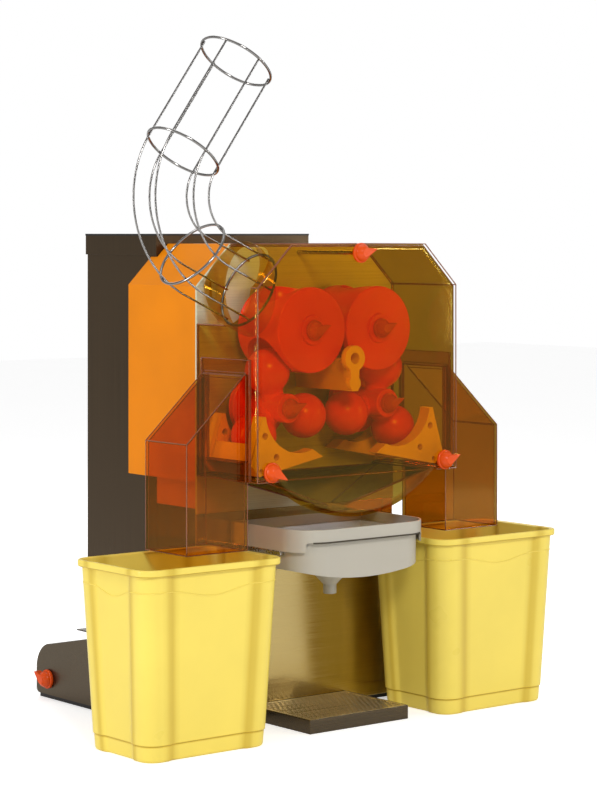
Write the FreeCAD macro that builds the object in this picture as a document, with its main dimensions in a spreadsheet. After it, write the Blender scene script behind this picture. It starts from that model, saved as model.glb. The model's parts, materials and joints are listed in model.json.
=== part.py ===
import FreeCAD, Part
import math
import os
from FreeCAD import Placement, Rotation, Vector

# Citrus juicer: two cup drums and two ball drums behind a clear cover on a steel column,
# with a wire feeder, peel chutes over two bins, a juice tray and a drip tray.
# Frame: origin in the middle of the base's footprint on the counter, +Z up, front at -Y.

doc = FreeCAD.newDocument("CitrusJuicer")
sheet = doc.addObject("Spreadsheet::Sheet", "Size")

# Driving dimensions in millimetres, teeth and copies as counts, turns in degrees
SIZES = {
    # Clearances
    "seat_gap": 0.3,
    "running_gap": 0.05,
    "overrun": 5,
    # Base with its deck and plinth
    "base_width": 492,
    "base_depth": 355,
    "base_top": 119,
    "base_flat": 159,
    "base_rear_top": 88,
    "base_rear_radius": 42,
    "base_heel_radius": 8,
    "plinth_height": 7,
    "plinth_inset": 4,
    "sheet_steel": 2,
    "deck_reach": 240,
    # Column, pedestal and cap
    "column_width": 300,
    "column_depth": 194,
    "column_rear_inset": 1,
    "body_height": 735,
    "cap_height": 33,
    "cap_overhang": 2,
    "vent_length": 90,
    "vent_height": 5,
    "vent_pitch": 14,
    "vent_base": 520,
    "vent_count": 9,
    # Gear housing and its plates
    "housing_width": 386,
    "housing_top": 720,
    "housing_bottom": 365,
    "housing_depth": 175,
    "housing_chamfer": 63,
    "housing_skin": 3,
    "neck_bottom": 317,
    "plate": 4,
    "rear_plate_stand": 52,
    "rear_plate_share": 0.880829,
    "rear_plate_width": "=housing_width * rear_plate_share",
    "rear_plate_bottom": 385,
    "rear_plate_top": 672,
    "spacer_radius": 8,
    "spacer_inset": 22,
    # Front cover
    "cover_reach": 152,
    "cover_skin": 3,
    "cover_arc_radius": 222,
    "cover_low": 313,
    "cover_ear": 375,
    "cover_lip": 22,
    "cover_screw_share": 0.435233,
    "cover_screw_rise": 14,
    "cover_screw_x": "=housing_width * cover_screw_share",
    "cover_screw_z": "=cover_ear + cover_screw_rise",
    "top_screw_z": 707,
    "screw_radius": 3,
    # Wing knobs
    "wing_knob_radius": 15,
    "wing_knob_dome": 14,
    "wing_knob_nose": 7.5,
    "wing_knob_foot": 5,
    "wing_knob_height": 16,
    "wing_start": 2.5,
    "wing_reach": 22,
    "drum_knob_turn": 20,
    "top_knob_turn": 15,
    "left_knob_turn": -30,
    "side_knob_turn": 60,
    # Peel chutes
    "chute_reach": 109,
    "chute_front": 128,
    "chute_rear": 27,
    "chute_bottom": 276,
    "chute_eave": 435,
    "chute_peak": 536,
    "chute_flange": 8,
    "chute_sill": 404,
    # Juice funnel
    "funnel_half_share": 0.414508,
    "funnel_half_width": "=housing_width * funnel_half_share",
    "funnel_top": 373,
    "funnel_low": 326,
    "funnel_skin": 2.5,
    "funnel_front": 126,
    "funnel_outlet": 18,
    "funnel_outlet_stand": 81,
    "funnel_spout": 10,
    # Drums, as shares of the housing's width
    "sweep_gap": 12.3,
    "sweep_share": 0.234974,
    "drum_drop_share": 0.300518,
    "upper_x_share": 0.168394,
    "lower_x_share": 0.248705,
    "drum_radius_share": 0.165803,
    "cup_radius_share": 0.100777,
    "ball_radius_share": 0.088083,
    "arm_radius_share": 0.044041,
    "flange_radius_share": 0.129534,
    "upper_x": "=housing_width * upper_x_share",
    "lower_x": "=housing_width * lower_x_share",
    "lower_z": "=funnel_top + sweep_gap + housing_width * sweep_share",
    "upper_z": "=lower_z + housing_width * drum_drop_share",
    "drum_radius": "=housing_width * drum_radius_share",
    "cup_radius": "=housing_width * cup_radius_share",
    "ball_radius": "=housing_width * ball_radius_share",
    "arm_radius": "=housing_width * arm_radius_share",
    "flange_radius": "=housing_width * flange_radius_share",
    "drum_stand": 69,
    "drum_width": 100,
    "cup_depth_share": 0.99,
    "hub_radius": 22,
    "hub_rise": 4,
    "ball_hub_setback": 15,
    "flange_width": 12,
    "spoke_turn": 30,
    "shaft_radius": 10,
    "shaft_tail": 8,
    "bush_radius": 16,
    "bush_flange_radius": 20,
    "bush_flange": 3,
    # Gears
    "gear_width": 16,
    "gear_gap": 4,
    "gear_plane_gap": 8,
    "gear_hub_radius": 18,
    "pair_teeth": 26,
    "cross_teeth": 24,
    "pinion_teeth": 12,
    "tooth_rise_share": 0.9,
    "tooth_fall_share": 1.2,
    "tooth_foot_share": 0.37,
    "tooth_crest_share": 0.12,
    "pinion_turn": 32,
    "pinion_shaft_radius": 8,
    # Drive and electrics
    "gearbox_width": 120,
    "gearbox_height": 116,
    "gearbox_depth": 56,
    "motor_radius": 52,
    "motor_length": 104,
    "pinion_bite": 20,
    "box_width": 180,
    "box_height": 120,
    "box_depth": 90,
    "box_rise": 22,
    "inlet_width": 48,
    "inlet_height": 28,
    "inlet_depth": 26,
    "inlet_z": 150,
    "switch_width": 14,
    "switch_height": 24,
    "socket_width": 20,
    "socket_depth": 22,
    "rocker_dish": 2,
    # Knife and peel ejectors
    "holder_width": 14,
    "holder_low_share": 0.062176,
    "holder_high_share": 0.11399,
    "holder_nose_share": 0.088083,
    "holder_low": "=lower_z + housing_width * holder_low_share",
    "holder_high": "=upper_z - housing_width * holder_high_share",
    "holder_front_width": 20,
    "holder_front_high": "=upper_z - housing_width * holder_nose_share",
    "holder_front_depth": 18,
    "holder_hole_radius": 4.5,
    "holder_taper_share": 0.6,
    "blade_top_share": 0.031088,
    "blade_top": "=upper_z - housing_width * blade_top_share",
    "blade_thickness": 1.2,
    "blade_bite": 10,
    "blade_margin": 12,
    "prong_width": 22,
    "prong_gap": 4,
    "prong_hole_radius": 5,
    "prong_screw_radius": 3.5,
    "prong_top_inner_share": 0.393782,
    "prong_top_outer_share": 0.430052,
    "prong_top_drop_share": 0.020725,
    "prong_side_share": 0.484456,
    "prong_side_drop_share": 0.202073,
    "prong_foot_share": 0.443005,
    "prong_foot_drop_share": 0.246114,
    "prong_tip_share": 0.134715,
    "prong_tip_drop_share": 0.186528,
    "prong_upper_eye_share": 0.417098,
    "prong_upper_eye_drop_share": 0.093264,
    "prong_lower_eye_share": 0.362694,
    "prong_lower_eye_drop_share": 0.176166,
    # Juice tray
    "tray_half_width": 128,
    "tray_front": 177,
    "tray_top": 302,
    "tray_band": 19,
    "tray_lip": 33,
    "tray_floor": 226,
    "tray_corner": 52,
    "tray_skin": 3,
    "tray_belly_rise": 15,
    "tray_side_step": 8,
    "tray_spout_radius": 30,
    "tray_cone": 21,
    "nozzle_radius": 10,
    "nozzle_bore": 6,
    "nozzle_length": 14,
    "rail_height": 6,
    "rail_length": 120,
    "strainer_skin": 1.5,
    "strainer_depth": 26,
    "strainer_inset": 14,
    "strainer_slots": 12,
    "strainer_slot_share": 0.4,
    # Drip tray
    "drip_half_width": 95.5,
    "drip_front": 152,
    "drip_height": 21,
    "grate_slots": 15,
    "grate_slot_share": 0.36,
    "grate_margin": 10,
    "grate_ledge": 4,
    # Bins
    "bin_rim_half_x": 125,
    "bin_rim_half_y": 92.5,
    "bin_foot_half_x": 108,
    "bin_foot_half_y": 76,
    "bin_height": 271,
    "bin_rim_height": 10,
    "bin_rim_reach": 4,
    "bin_skin": 2.5,
    "bin_floor": 3,
    "bin_corner": 26,
    "bin_pilaster": 38,
    "bin_recess": 2.5,
    "left_bin_x": 294,
    "right_bin_x": 256,
    "bin_stand": 99.5,
    # Wire feeder and its collar
    "feed_stand": 72,
    "feed_end_share": 0.378238,
    "feed_end_z": 651.6,
    "feed_slope": 25,
    "feed_run": 86,
    "feed_bend_radius": 112,
    "feed_bend_turn": 100.5,
    "feed_low_ring_turn": 16.75,
    "feed_first_wire": 30,
    "feed_riser": 168,
    "feed_wire_orbit": 54.5,
    "feed_wire_radius": 1.5,
    "feed_ring_radius": 2,
    "feed_weld": 0.5,
    "feed_wires": 6,
    "collar_gap": 0.3,
    "collar_skin": 3,
    "collar_length": 38,
    "collar_foot": 12,
    "cutout_gap": 3,
    # Base knobs
    "side_knob_rear": 35,
    "side_knob_z": 32,
    "side_screw": 12,
}
for row, (alias, value) in enumerate(SIZES.items(), start=1):
    sheet.set(f"A{row}", alias.replace("_", " "))
    sheet.set(f"B{row}", str(value))
    sheet.setAlias(f"B{row}", alias)
doc.recompute()

nodes = []


def mm(expression):
    """Value of an expression over the sheet's cells."""
    return float(sheet.evalExpression(expression))


def keep(item, label):
    """Name a finished sub-part; the name is also its file's."""
    item.Label = label
    nodes.append(item)
    return item


def feature(label, shape):
    """A finished sub-part whose shape is worked out here from the sheet."""
    item = doc.addObject("Part::Feature", label)
    item.Shape = shape
    return keep(item, label)


def box(x, y, z, name="Block"):
    """A box between two expressions along each axis."""
    item = doc.addObject("Part::Box", name)
    for side, axis, (low, high) in zip(("Length", "Width", "Height"), "xyz", (x, y, z)):
        item.setExpression(side, f"({high}) - ({low})")
        item.setExpression(f"Placement.Base.{axis}", low)
    return item


TURNS = {"x": Rotation(Vector(0, 1, 0), 90), "y": Rotation(Vector(1, 0, 0), -90), "z": Rotation()}


def rod(along, radius, x, y, z, name="Rod"):
    """A cylinder; its place along its own axis is a pair of expressions."""
    item = doc.addObject("Part::Cylinder", name)
    item.Placement = Placement(Vector(), TURNS[along])
    item.setExpression("Radius", radius)
    for axis, place in zip("xyz", (x, y, z)):
        start = place[0] if axis == along else place
        item.setExpression(f"Placement.Base.{axis}", start)
        if axis == along:
            item.setExpression("Height", f"({place[1]}) - ({place[0]})")
    return item


def ball(radius, x, y, z, name="Ball"):
    item = doc.addObject("Part::Sphere", name)
    item.setExpression("Radius", radius)
    for axis, place in zip("xyz", (x, y, z)):
        item.setExpression(f"Placement.Base.{axis}", place)
    return item


def fuse(*items):
    item = doc.addObject("Part::MultiFuse", "Joined")
    item.Shapes = list(items)
    item.Refine = True
    return item


def cut(base, *tools):
    item = doc.addObject("Part::Cut", "Trimmed")
    item.Base = base
    item.Tool = tools[0] if len(tools) == 1 else fuse(*tools)
    return item


def group(*items):
    item = doc.addObject("Part::Compound", "Group")
    item.Links = list(items)
    return item


def outline(steps, lift):
    """Closed wire through points in a plane; a pair of points is an arc through its first."""
    edges = []
    here = lift(*steps[0])
    for step in list(steps[1:]) + [steps[0]]:
        if isinstance(step[0], tuple):
            end = lift(*step[1])
            edges.append(Part.Arc(here, lift(*step[0]), end).toShape())
        else:
            end = lift(*step)
            edges.append(Part.LineSegment(here, end).toShape())
        here = end
    return Part.Wire(edges)


def front_prism(steps, low, high):
    """Profile in X and Z, from one Y to another."""
    face = Part.Face(outline(steps, lambda x, z: Vector(x, low, z)))
    return face.extrude(Vector(0, high - low, 0))


def side_prism(steps, low, high):
    """Profile in Y and Z, from one X to another."""
    face = Part.Face(outline(steps, lambda y, z: Vector(low, y, z)))
    return face.extrude(Vector(high - low, 0, 0))


def plan_prism(steps, low, high):
    """Profile in X and Y, from one Z to another."""
    face = Part.Face(outline(steps, lambda x, y: Vector(x, y, low)))
    return face.extrude(Vector(0, 0, high - low))


def block(x, y, z):
    """A plain box between two values along each axis."""
    corner = Vector(min(x), min(y), min(z))
    return Part.makeBox(abs(x[1] - x[0]), abs(y[1] - y[0]), abs(z[1] - z[0]), corner)


def round_bar(radius, start, end):
    """A plain cylinder between two points."""
    return Part.makeCylinder(radius, (end - start).Length, start, end - start)


# Places that several pieces share
FRONT = "(-Size.base_depth / 2)"
REAR = "(Size.base_depth / 2)"
COLUMN_REAR = f"({REAR} - Size.column_rear_inset)"
COLUMN_FRONT = f"({COLUMN_REAR} - Size.column_depth)"
HALF_COLUMN = "(Size.column_width / 2)"
HALF_HOUSING = "(Size.housing_width / 2)"
PLATE_FRONT = f"({FRONT} - Size.plate)"
COVER_FRONT = f"({FRONT} - Size.cover_reach)"
COVER_REAR = f"({PLATE_FRONT} - Size.seat_gap)"
DRUM_MIDDLE = f"({FRONT} - Size.drum_stand)"
DRUM_FRONT = f"({DRUM_MIDDLE} - Size.drum_width / 2)"
DRUM_REAR = f"({DRUM_MIDDLE} + Size.drum_width / 2)"
REAR_PLATE = f"({FRONT} + Size.rear_plate_stand)"
FLOOR_Z = "Size.plinth_height"
COLUMN_TOP = "(Size.body_height - Size.sheet_steel - Size.seat_gap)"

front, rear = mm(FRONT), mm(REAR)
plate_front, cover_front, cover_rear = mm(PLATE_FRONT), mm(COVER_FRONT), mm(COVER_REAR)
column_front = mm(COLUMN_FRONT)
drum_middle, drum_front, drum_rear = mm(DRUM_MIDDLE), mm(DRUM_FRONT), mm(DRUM_REAR)
gap, overrun = mm("Size.seat_gap"), mm("Size.overrun")
half_column, half_housing = mm(HALF_COLUMN), mm(HALF_HOUSING)
upper_x, upper_z = mm("Size.upper_x"), mm("Size.upper_z")
lower_x, lower_z = mm("Size.lower_x"), mm("Size.lower_z")
axis_distance = math.hypot(lower_x - upper_x, upper_z - lower_z)
mesh_turn = math.degrees(math.atan2(upper_z - lower_z, upper_x - lower_x))
SIDES = (("left", -1), ("right", 1))
EIGHTH = math.sin(math.radians(45))
AXES = [
    (f"{side}_{level}", sign * mm(f"Size.{level}_x"), mm(f"Size.{level}_z"))
    for level in ("upper", "lower")
    for side, sign in SIDES
]
pinion_reach = axis_distance / 2 * (1 + mm("Size.pinion_teeth / Size.cross_teeth"))
pinion_x = -lower_x + pinion_reach * math.cos(math.radians(mm("Size.pinion_turn")))
pinion_z = lower_z - pinion_reach * math.sin(math.radians(mm("Size.pinion_turn")))


# Base: a folded steel hood whose deck slopes down to a rounded heel
def base_profile(skin):
    top, rear_top = mm("Size.base_top") - skin, mm("Size.base_rear_top") - skin
    radius, heel = mm("Size.base_rear_radius") - skin, mm("Size.base_heel_radius") - skin
    back, low = rear - skin, mm(FLOOR_Z)
    curve = 1 - EIGHTH
    return [
        (front + skin, low),
        (front + skin, top),
        (front + mm("Size.base_flat"), top),
        (back - radius, rear_top),
        ((back - radius * curve, rear_top - radius * curve), (back, rear_top - radius)),
        (back, low + heel),
        ((back - heel * curve, low + heel * curve), (back - heel, low)),
    ]


def base_shell():
    half, skin = mm("Size.base_width / 2"), mm("Size.sheet_steel")
    shell = side_prism(base_profile(0), -half, half)
    hollow = side_prism(base_profile(skin), skin - half, half - skin)
    column_bay = block(
        (-half_column - gap, half_column + gap),
        (column_front - gap, rear + overrun),
        (mm(FLOOR_Z) - overrun, mm("Size.base_top") + overrun),
    )
    screw_y, screw_z = rear - mm("Size.side_knob_rear"), mm("Size.side_knob_z")
    screw_hole = round_bar(
        mm("Size.screw_radius + Size.running_gap"),
        Vector(-half - overrun, screw_y, screw_z),
        Vector(half + overrun, screw_y, screw_z),
    )
    return feature("base_shell", shell.cut(hollow).cut(column_bay).cut(screw_hole))


base_shell()
keep(
    box(
        ("-Size.base_width / 2 + Size.plinth_inset", "Size.base_width / 2 - Size.plinth_inset"),
        (f"{FRONT} + Size.plinth_inset", f"{REAR} - Size.plinth_inset"),
        ("0", FLOOR_Z),
    ),
    "base_plinth",
)
keep(
    group(
        *(
            box(
                (f"{low}", f"{high}"),
                (FRONT, f"{FRONT} + Size.deck_reach"),
                ("Size.base_top", "Size.base_top + Size.sheet_steel"),
            )
            for low, high in (
                ("-Size.base_width / 2", f"-{HALF_COLUMN} - Size.seat_gap"),
                (f"{HALF_COLUMN} + Size.seat_gap", "Size.base_width / 2"),
            )
        )
    ),
    "deck_plates",
)

# Column, pedestal, cap and rear panel
column = cut(
    box((f"-{HALF_COLUMN}", HALF_COLUMN), (COLUMN_FRONT, COLUMN_REAR), (FLOOR_Z, COLUMN_TOP)),
    box(
        (f"-{HALF_COLUMN} + Size.sheet_steel", f"{HALF_COLUMN} - Size.sheet_steel"),
        (f"{COLUMN_FRONT} + Size.sheet_steel", f"{COLUMN_REAR} + Size.overrun"),
        (f"{FLOOR_Z} + Size.sheet_steel", f"{COLUMN_TOP} + Size.overrun"),
    ),
    rod(
        "y",
        "Size.bush_radius + Size.running_gap",
        f"{pinion_x}",
        (f"{COLUMN_FRONT} - Size.overrun", f"{COLUMN_FRONT} + Size.overrun"),
        f"{pinion_z}",
    ),
)
keep(column, "column_shell")
pedestal = cut(
    box(
        (f"-{HALF_COLUMN}", HALF_COLUMN),
        (FRONT, f"{COLUMN_FRONT} - Size.seat_gap"),
        ("Size.base_top + Size.seat_gap", "Size.neck_bottom - Size.seat_gap"),
    ),
    box(
        (f"-{HALF_COLUMN} + Size.sheet_steel", f"{HALF_COLUMN} - Size.sheet_steel"),
        (f"{FRONT} + Size.sheet_steel", f"{COLUMN_FRONT} - Size.seat_gap - Size.sheet_steel"),
        ("Size.base_top - Size.overrun", "Size.neck_bottom - Size.seat_gap - Size.sheet_steel"),
    ),
)
keep(pedestal, "pedestal_shell")
keep(
    box(
        (f"-{HALF_HOUSING}", HALF_HOUSING),
        (f"{FRONT} - Size.sheet_steel", FRONT),
        (f"{FLOOR_Z}", "Size.neck_bottom - Size.seat_gap"),
    ),
    "splash_plate",
)
cap = cut(
    box(
        (f"-{HALF_COLUMN} - Size.cap_overhang", f"{HALF_COLUMN} + Size.cap_overhang"),
        (f"{COLUMN_FRONT} - Size.cap_overhang / 2", f"{COLUMN_REAR} + Size.cap_overhang"),
        ("Size.body_height - Size.cap_height", "Size.body_height"),
    ),
    box(
        (f"-{HALF_COLUMN} - Size.seat_gap", f"{HALF_COLUMN} + Size.seat_gap"),
        (f"{COLUMN_FRONT} - Size.seat_gap", f"{COLUMN_REAR} + Size.seat_gap"),
        ("Size.body_height - Size.cap_height - Size.overrun", "Size.body_height - Size.sheet_steel"),
    ),
)
keep(cap, "column_cap")


def rear_panel():
    """Rear panel with its vent slots and the opening for the mains inlet."""
    half = half_column - mm("Size.sheet_steel") - gap
    back, skin = mm(COLUMN_REAR), mm("Size.sheet_steel")
    low, high = mm(f"{FLOOR_Z} + Size.sheet_steel") + gap, mm(COLUMN_TOP)
    panel = block((-half, half), (back - skin, back), (low, high))
    slots = []
    for row in range(int(mm("Size.vent_count"))):
        base = mm("Size.vent_base") + row * mm("Size.vent_pitch")
        for side in (-1, 1):
            middle = side * half / 2
            reach = mm("Size.vent_length / 2")
            slots.append(
                block(
                    (middle - reach, middle + reach),
                    (back - skin - overrun, back + overrun),
                    (base, base + mm("Size.vent_height")),
                )
            )
    inlet = block(
        (-mm("Size.inlet_width / 2") - gap, mm("Size.inlet_width / 2") + gap),
        (back - skin - overrun, back + overrun),
        (mm("Size.inlet_z") - gap, mm("Size.inlet_z + Size.inlet_height") + gap),
    )
    return feature("rear_panel", panel.cut(Part.makeCompound(slots + [inlet])))


rear_panel()


# Gear housing: an octagon-topped plastic casing that wraps the column's front,
# with a narrower neck that stands on the pedestal
def octagon(inset, bottom):
    half, top = half_housing - inset, mm("Size.housing_top") - inset
    chamfer = mm("Size.housing_chamfer") - inset * (2 - 1 / EIGHTH)
    return [
        (-half, bottom),
        (-half, top - chamfer),
        (chamfer - half, top),
        (half - chamfer, top),
        (half, top - chamfer),
        (half, bottom),
    ]


def gear_housing():
    skin, back = mm("Size.housing_skin"), front + mm("Size.housing_depth")
    bottom, low = mm("Size.housing_bottom"), mm("Size.neck_bottom")
    neck_back = column_front - gap
    shell = front_prism(octagon(0, bottom), front, back)
    hollow = front_prism(octagon(skin, bottom + skin), front - overrun, back - skin)
    neck = block((-half_column, half_column), (front, neck_back), (low, bottom + skin))
    throat = block(
        (skin - half_column, half_column - skin),
        (front - overrun, neck_back - skin),
        (low - overrun, bottom + skin + overrun),
    )
    column_bay = block(
        (-half_column - gap, half_column + gap),
        (column_front - mm("Size.cap_overhang"), back + overrun),
        (bottom - overrun, mm("Size.body_height")),
    )
    shape = shell.cut(hollow).cut(column_bay).fuse(neck).cut(throat).removeSplitter()
    return feature("gear_housing", shape)


gear_housing()

# Bearing plates with their spacers and bushes
screw_places = [
    (0, mm("Size.top_screw_z")),
    (-mm("Size.cover_screw_x"), mm("Size.cover_screw_z")),
    (mm("Size.cover_screw_x"), mm("Size.cover_screw_z")),
]
spacer_places = [
    (side * mm("Size.rear_plate_width / 2 - Size.spacer_inset"), z)
    for side in (-1, 1)
    for z in (
        mm("Size.rear_plate_bottom + Size.spacer_inset"),
        mm("Size.rear_plate_top - Size.spacer_inset * 2"),
    )
]


def pierced(shape, places, radius, low, high):
    """Shape with a hole along Y at each place."""
    tools = [round_bar(radius, Vector(x, low, z), Vector(x, high, z)) for x, z in places]
    return shape.cut(Part.makeCompound(tools))


def bearing_plates():
    fit = mm("Size.running_gap")
    drums = [(x, z) for _, x, z in AXES]
    plate = front_prism(octagon(0, mm("Size.neck_bottom")), plate_front, front)
    low, high = plate_front - overrun, front + overrun
    plate = pierced(plate, drums, mm("Size.bush_radius") + fit, low, high)
    plate = pierced(plate, screw_places, mm("Size.screw_radius") + fit, low, high)
    feature("bearing_plate", plate)
    half, stand = mm("Size.rear_plate_width / 2"), mm(REAR_PLATE)
    corner, skin = mm("Size.spacer_inset * 2"), mm("Size.plate")
    bottom, top = mm("Size.rear_plate_bottom"), mm("Size.rear_plate_top")
    steps = [(-half, bottom), (-half, top - corner), (corner - half, top)]
    steps += [(half - corner, top), (half, top - corner), (half, bottom)]
    plate = front_prism(steps, stand, stand + skin)
    low, high = stand - overrun, stand + skin + overrun
    plate = pierced(plate, drums, mm("Size.bush_radius") + fit, low, high)
    pinion_bore = mm("Size.pinion_shaft_radius") + fit
    plate = pierced(plate, [(pinion_x, pinion_z)], pinion_bore, low, high)
    feature("rear_bearing_plate", plate)
    bars = [
        round_bar(mm("Size.spacer_radius"), Vector(x, front, z), Vector(x, stand, z))
        for x, z in spacer_places
    ]
    feature("plate_spacers", Part.makeCompound(bars))


def bush(x, z, low, high, flange_low):
    """Flanged plain bearing for a drum shaft."""
    wall, rim = mm("Size.bush_radius"), mm("Size.bush_flange_radius")
    flange_high = flange_low + mm("Size.bush_flange")
    body = round_bar(wall, Vector(x, low, z), Vector(x, high, z))
    rim_disc = round_bar(rim, Vector(x, flange_low, z), Vector(x, flange_high, z))
    bore = mm("Size.shaft_radius + Size.running_gap")
    start, end = min(low, flange_low) - overrun, max(high, flange_high) + overrun
    return body.fuse(rim_disc).cut(round_bar(bore, Vector(x, start, z), Vector(x, end, z)))


def bushes():
    flange = mm("Size.bush_flange")
    front_set = [bush(x, z, plate_front, front, plate_front - flange) for _, x, z in AXES]
    feature("front_bushes", Part.makeCompound(front_set))
    back, skin = mm(REAR_PLATE), mm("Size.plate")
    rear_set = [bush(x, z, back, back + skin, back - flange) for _, x, z in AXES]
    feature("rear_bushes", Part.makeCompound(rear_set))


bearing_plates()
bushes()


# Drums: cups above, balls below, both on three spokes a third of a turn apart
def mesh_turn_of(sign):
    """Direction from a ball drum's axis to its cup drum's, in degrees from +X."""
    return mesh_turn if sign > 0 else 180 - mesh_turn


def cup_drum(side, sign):
    """Cylinder with three round pockets and a raised hub."""
    x, z = f"({sign} * Size.upper_x)", "Size.upper_z"
    body = rod("y", "Size.drum_radius", x, (DRUM_FRONT, DRUM_REAR), z)
    hub = rod("y", "Size.hub_radius", x, (f"{DRUM_FRONT} - Size.hub_rise", DRUM_FRONT), z)
    orbit = "(Size.drum_radius * Size.cup_depth_share)"
    tools = []
    for spoke in range(3):
        turn = 180 + mesh_turn_of(sign) + sign * (mm("Size.spoke_turn") + spoke * 120)
        place = (f"{x} + {orbit} * cos({turn})", DRUM_MIDDLE, f"{z} + {orbit} * sin({turn})")
        tools.append(ball("Size.cup_radius", *place))
    bore_ends = (f"{DRUM_FRONT} - Size.overrun * 2", f"{DRUM_REAR} + Size.overrun")
    tools.append(rod("y", "Size.shaft_radius + Size.running_gap", x, bore_ends, z))
    return keep(cut(fuse(body, hub), *tools), f"{side}_cup_drum")


def ball_drum(side, sign):
    """Hub and flange with three short arms, and a ball seated flat on the end of each."""
    x, z = f"({sign} * Size.lower_x)", "Size.lower_z"
    hub = rod("y", "Size.hub_radius", x, (f"{DRUM_FRONT} + Size.ball_hub_setback", DRUM_REAR), z)
    flange = rod("y", "Size.flange_radius", x, (f"{DRUM_REAR} - Size.flange_width", DRUM_REAR), z)
    reach, arm_radius = mm("Size.ball_radius"), mm("Size.arm_radius")
    orbit = axis_distance - mm("Size.drum_radius * Size.cup_depth_share")
    flat = -math.degrees(math.acos(arm_radius / reach))
    seat = orbit - math.sqrt(reach**2 - arm_radius**2)
    middle = Vector(sign * lower_x, drum_middle, lower_z)
    arms, balls = [], []
    for spoke in range(3):
        turn = math.radians(mesh_turn_of(sign) - sign * (mm("Size.spoke_turn") + spoke * 120))
        way = Vector(math.cos(turn), 0, math.sin(turn))
        arms.append(round_bar(arm_radius, middle, middle + way * seat))
        balls.append(Part.makeSphere(reach, middle + way * orbit, way, flat, 90, 360))
    bore_ends = (f"{DRUM_FRONT} - Size.overrun", f"{DRUM_REAR} + Size.overrun")
    bore = rod("y", "Size.shaft_radius + Size.running_gap", x, bore_ends, z)
    doc.recompute()
    core = hub.Shape.multiFuse([flange.Shape] + arms).cut(bore.Shape).removeSplitter()
    return feature(f"{side}_ball_drum", Part.makeCompound([core] + balls))


def drum_shaft(name):
    """Shaft from a drum's hub back through both bearing plates."""
    side, level = name.split("_")
    nose = DRUM_FRONT if level == "upper" else f"{DRUM_FRONT} + Size.ball_hub_setback"
    tail = f"{REAR_PLATE} + Size.plate + Size.shaft_tail"
    place = f"{dict(SIDES)[side]} * Size.{level}_x"
    shaft = rod("y", "Size.shaft_radius", place, (nose, tail), f"Size.{level}_z")
    return keep(shaft, f"{name}_shaft")


for side, sign in SIDES:
    cup_drum(side, sign)
for side, sign in SIDES:
    ball_drum(side, sign)
for name, _, _ in AXES:
    drum_shaft(name)


# Wing knobs: round foot, domed body and a pointed wing to turn them by
def wing_knob():
    """A knob that stands on its foot along +Z."""
    nose, foot_height = mm("Size.wing_knob_nose"), mm("Size.wing_knob_foot")
    height, reach = mm("Size.wing_knob_height"), mm("Size.wing_reach")
    foot = Part.makeCylinder(mm("Size.wing_knob_radius"), foot_height)
    seat = Vector(0, 0, foot_height)
    dome = Part.makeCone(mm("Size.wing_knob_dome"), nose, height - foot_height, seat)
    touch = math.acos(nose / reach)
    side_x, side_y = nose * math.cos(touch), nose * math.sin(touch)
    steps = [(reach, 0), (side_x, side_y), ((-nose, 0), (side_x, -side_y))]
    wing = plan_prism(steps, mm("Size.wing_start"), height)
    return foot.fuse(dome).fuse(wing).removeSplitter()


def placed(shape, point, along, turn):
    """Copy of a shape turned about +Z, then from +Z to a direction, and moved to a point."""
    spin = Rotation(Vector(0, 0, 1), turn)
    copy = shape.copy()
    copy.Placement = Placement(point, Rotation(Vector(0, 0, 1), along).multiply(spin))
    return copy


KNOB = wing_knob()
OUT = Vector(0, -1, 0)
for name, x, z in AXES:
    nose = drum_front - mm("Size.hub_rise")
    if name.endswith("lower"):
        nose = drum_front + mm("Size.ball_hub_setback")
    feature(f"{name}_knob", placed(KNOB, Vector(x, nose - gap, z), OUT, mm("Size.drum_knob_turn")))


# Gears: the cup drums' pair, the two cross pairs and the pinion
def gear(pitch_radius, teeth, place, low, toward, tooth):
    """Spur gear with a tooth, or else a gap, facing a direction in degrees."""
    x, z = place
    module = 2 * pitch_radius / teeth
    pitch_turn = 2 * math.pi / teeth
    tip = pitch_radius + mm("Size.tooth_rise_share") * module
    root = pitch_radius - mm("Size.tooth_fall_share") * module
    foot, crest = mm("Size.tooth_foot_share"), mm("Size.tooth_crest_share")
    start = math.radians(toward) + (0 if tooth else pitch_turn / 2)
    steps = []
    for index in range(teeth):
        middle = start + index * pitch_turn
        for radius, share in ((root, -foot), (tip, -crest), (tip, crest), (root, foot)):
            turn = middle + share * pitch_turn
            steps.append((x + radius * math.cos(turn), z + radius * math.sin(turn)))
    return front_prism(steps, low, low + mm("Size.gear_width"))


def shaft_gears():
    fit, hub = mm("Size.shaft_radius + Size.running_gap"), mm("Size.gear_hub_radius")
    cross_teeth, pair_teeth = int(mm("Size.cross_teeth")), int(mm("Size.pair_teeth"))
    width, cross_radius = mm("Size.gear_width"), axis_distance / 2
    near = front + mm("Size.gear_gap")
    far = near + width + mm("Size.gear_plane_gap")
    for name, x, z in AXES:
        side, level = name.split("_")
        toward = mesh_turn_of(dict(SIDES)[side])
        if level == "upper":
            shape = gear(cross_radius, cross_teeth, (x, z), near, toward + 180, True)
            inward = 0 if side == "left" else 180
            pair = gear(upper_x, pair_teeth, (x, z), far, inward, side == "left")
            collar = round_bar(hub, Vector(x, near, z), Vector(x, far, z))
            shape = shape.fuse(collar).fuse(pair)
        else:
            shape = gear(cross_radius, cross_teeth, (x, z), near, toward, False)
        bore = round_bar(fit, Vector(x, near - overrun, z), Vector(x, far + width + overrun, z))
        feature(f"{name}_gear", shape.cut(bore))


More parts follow.
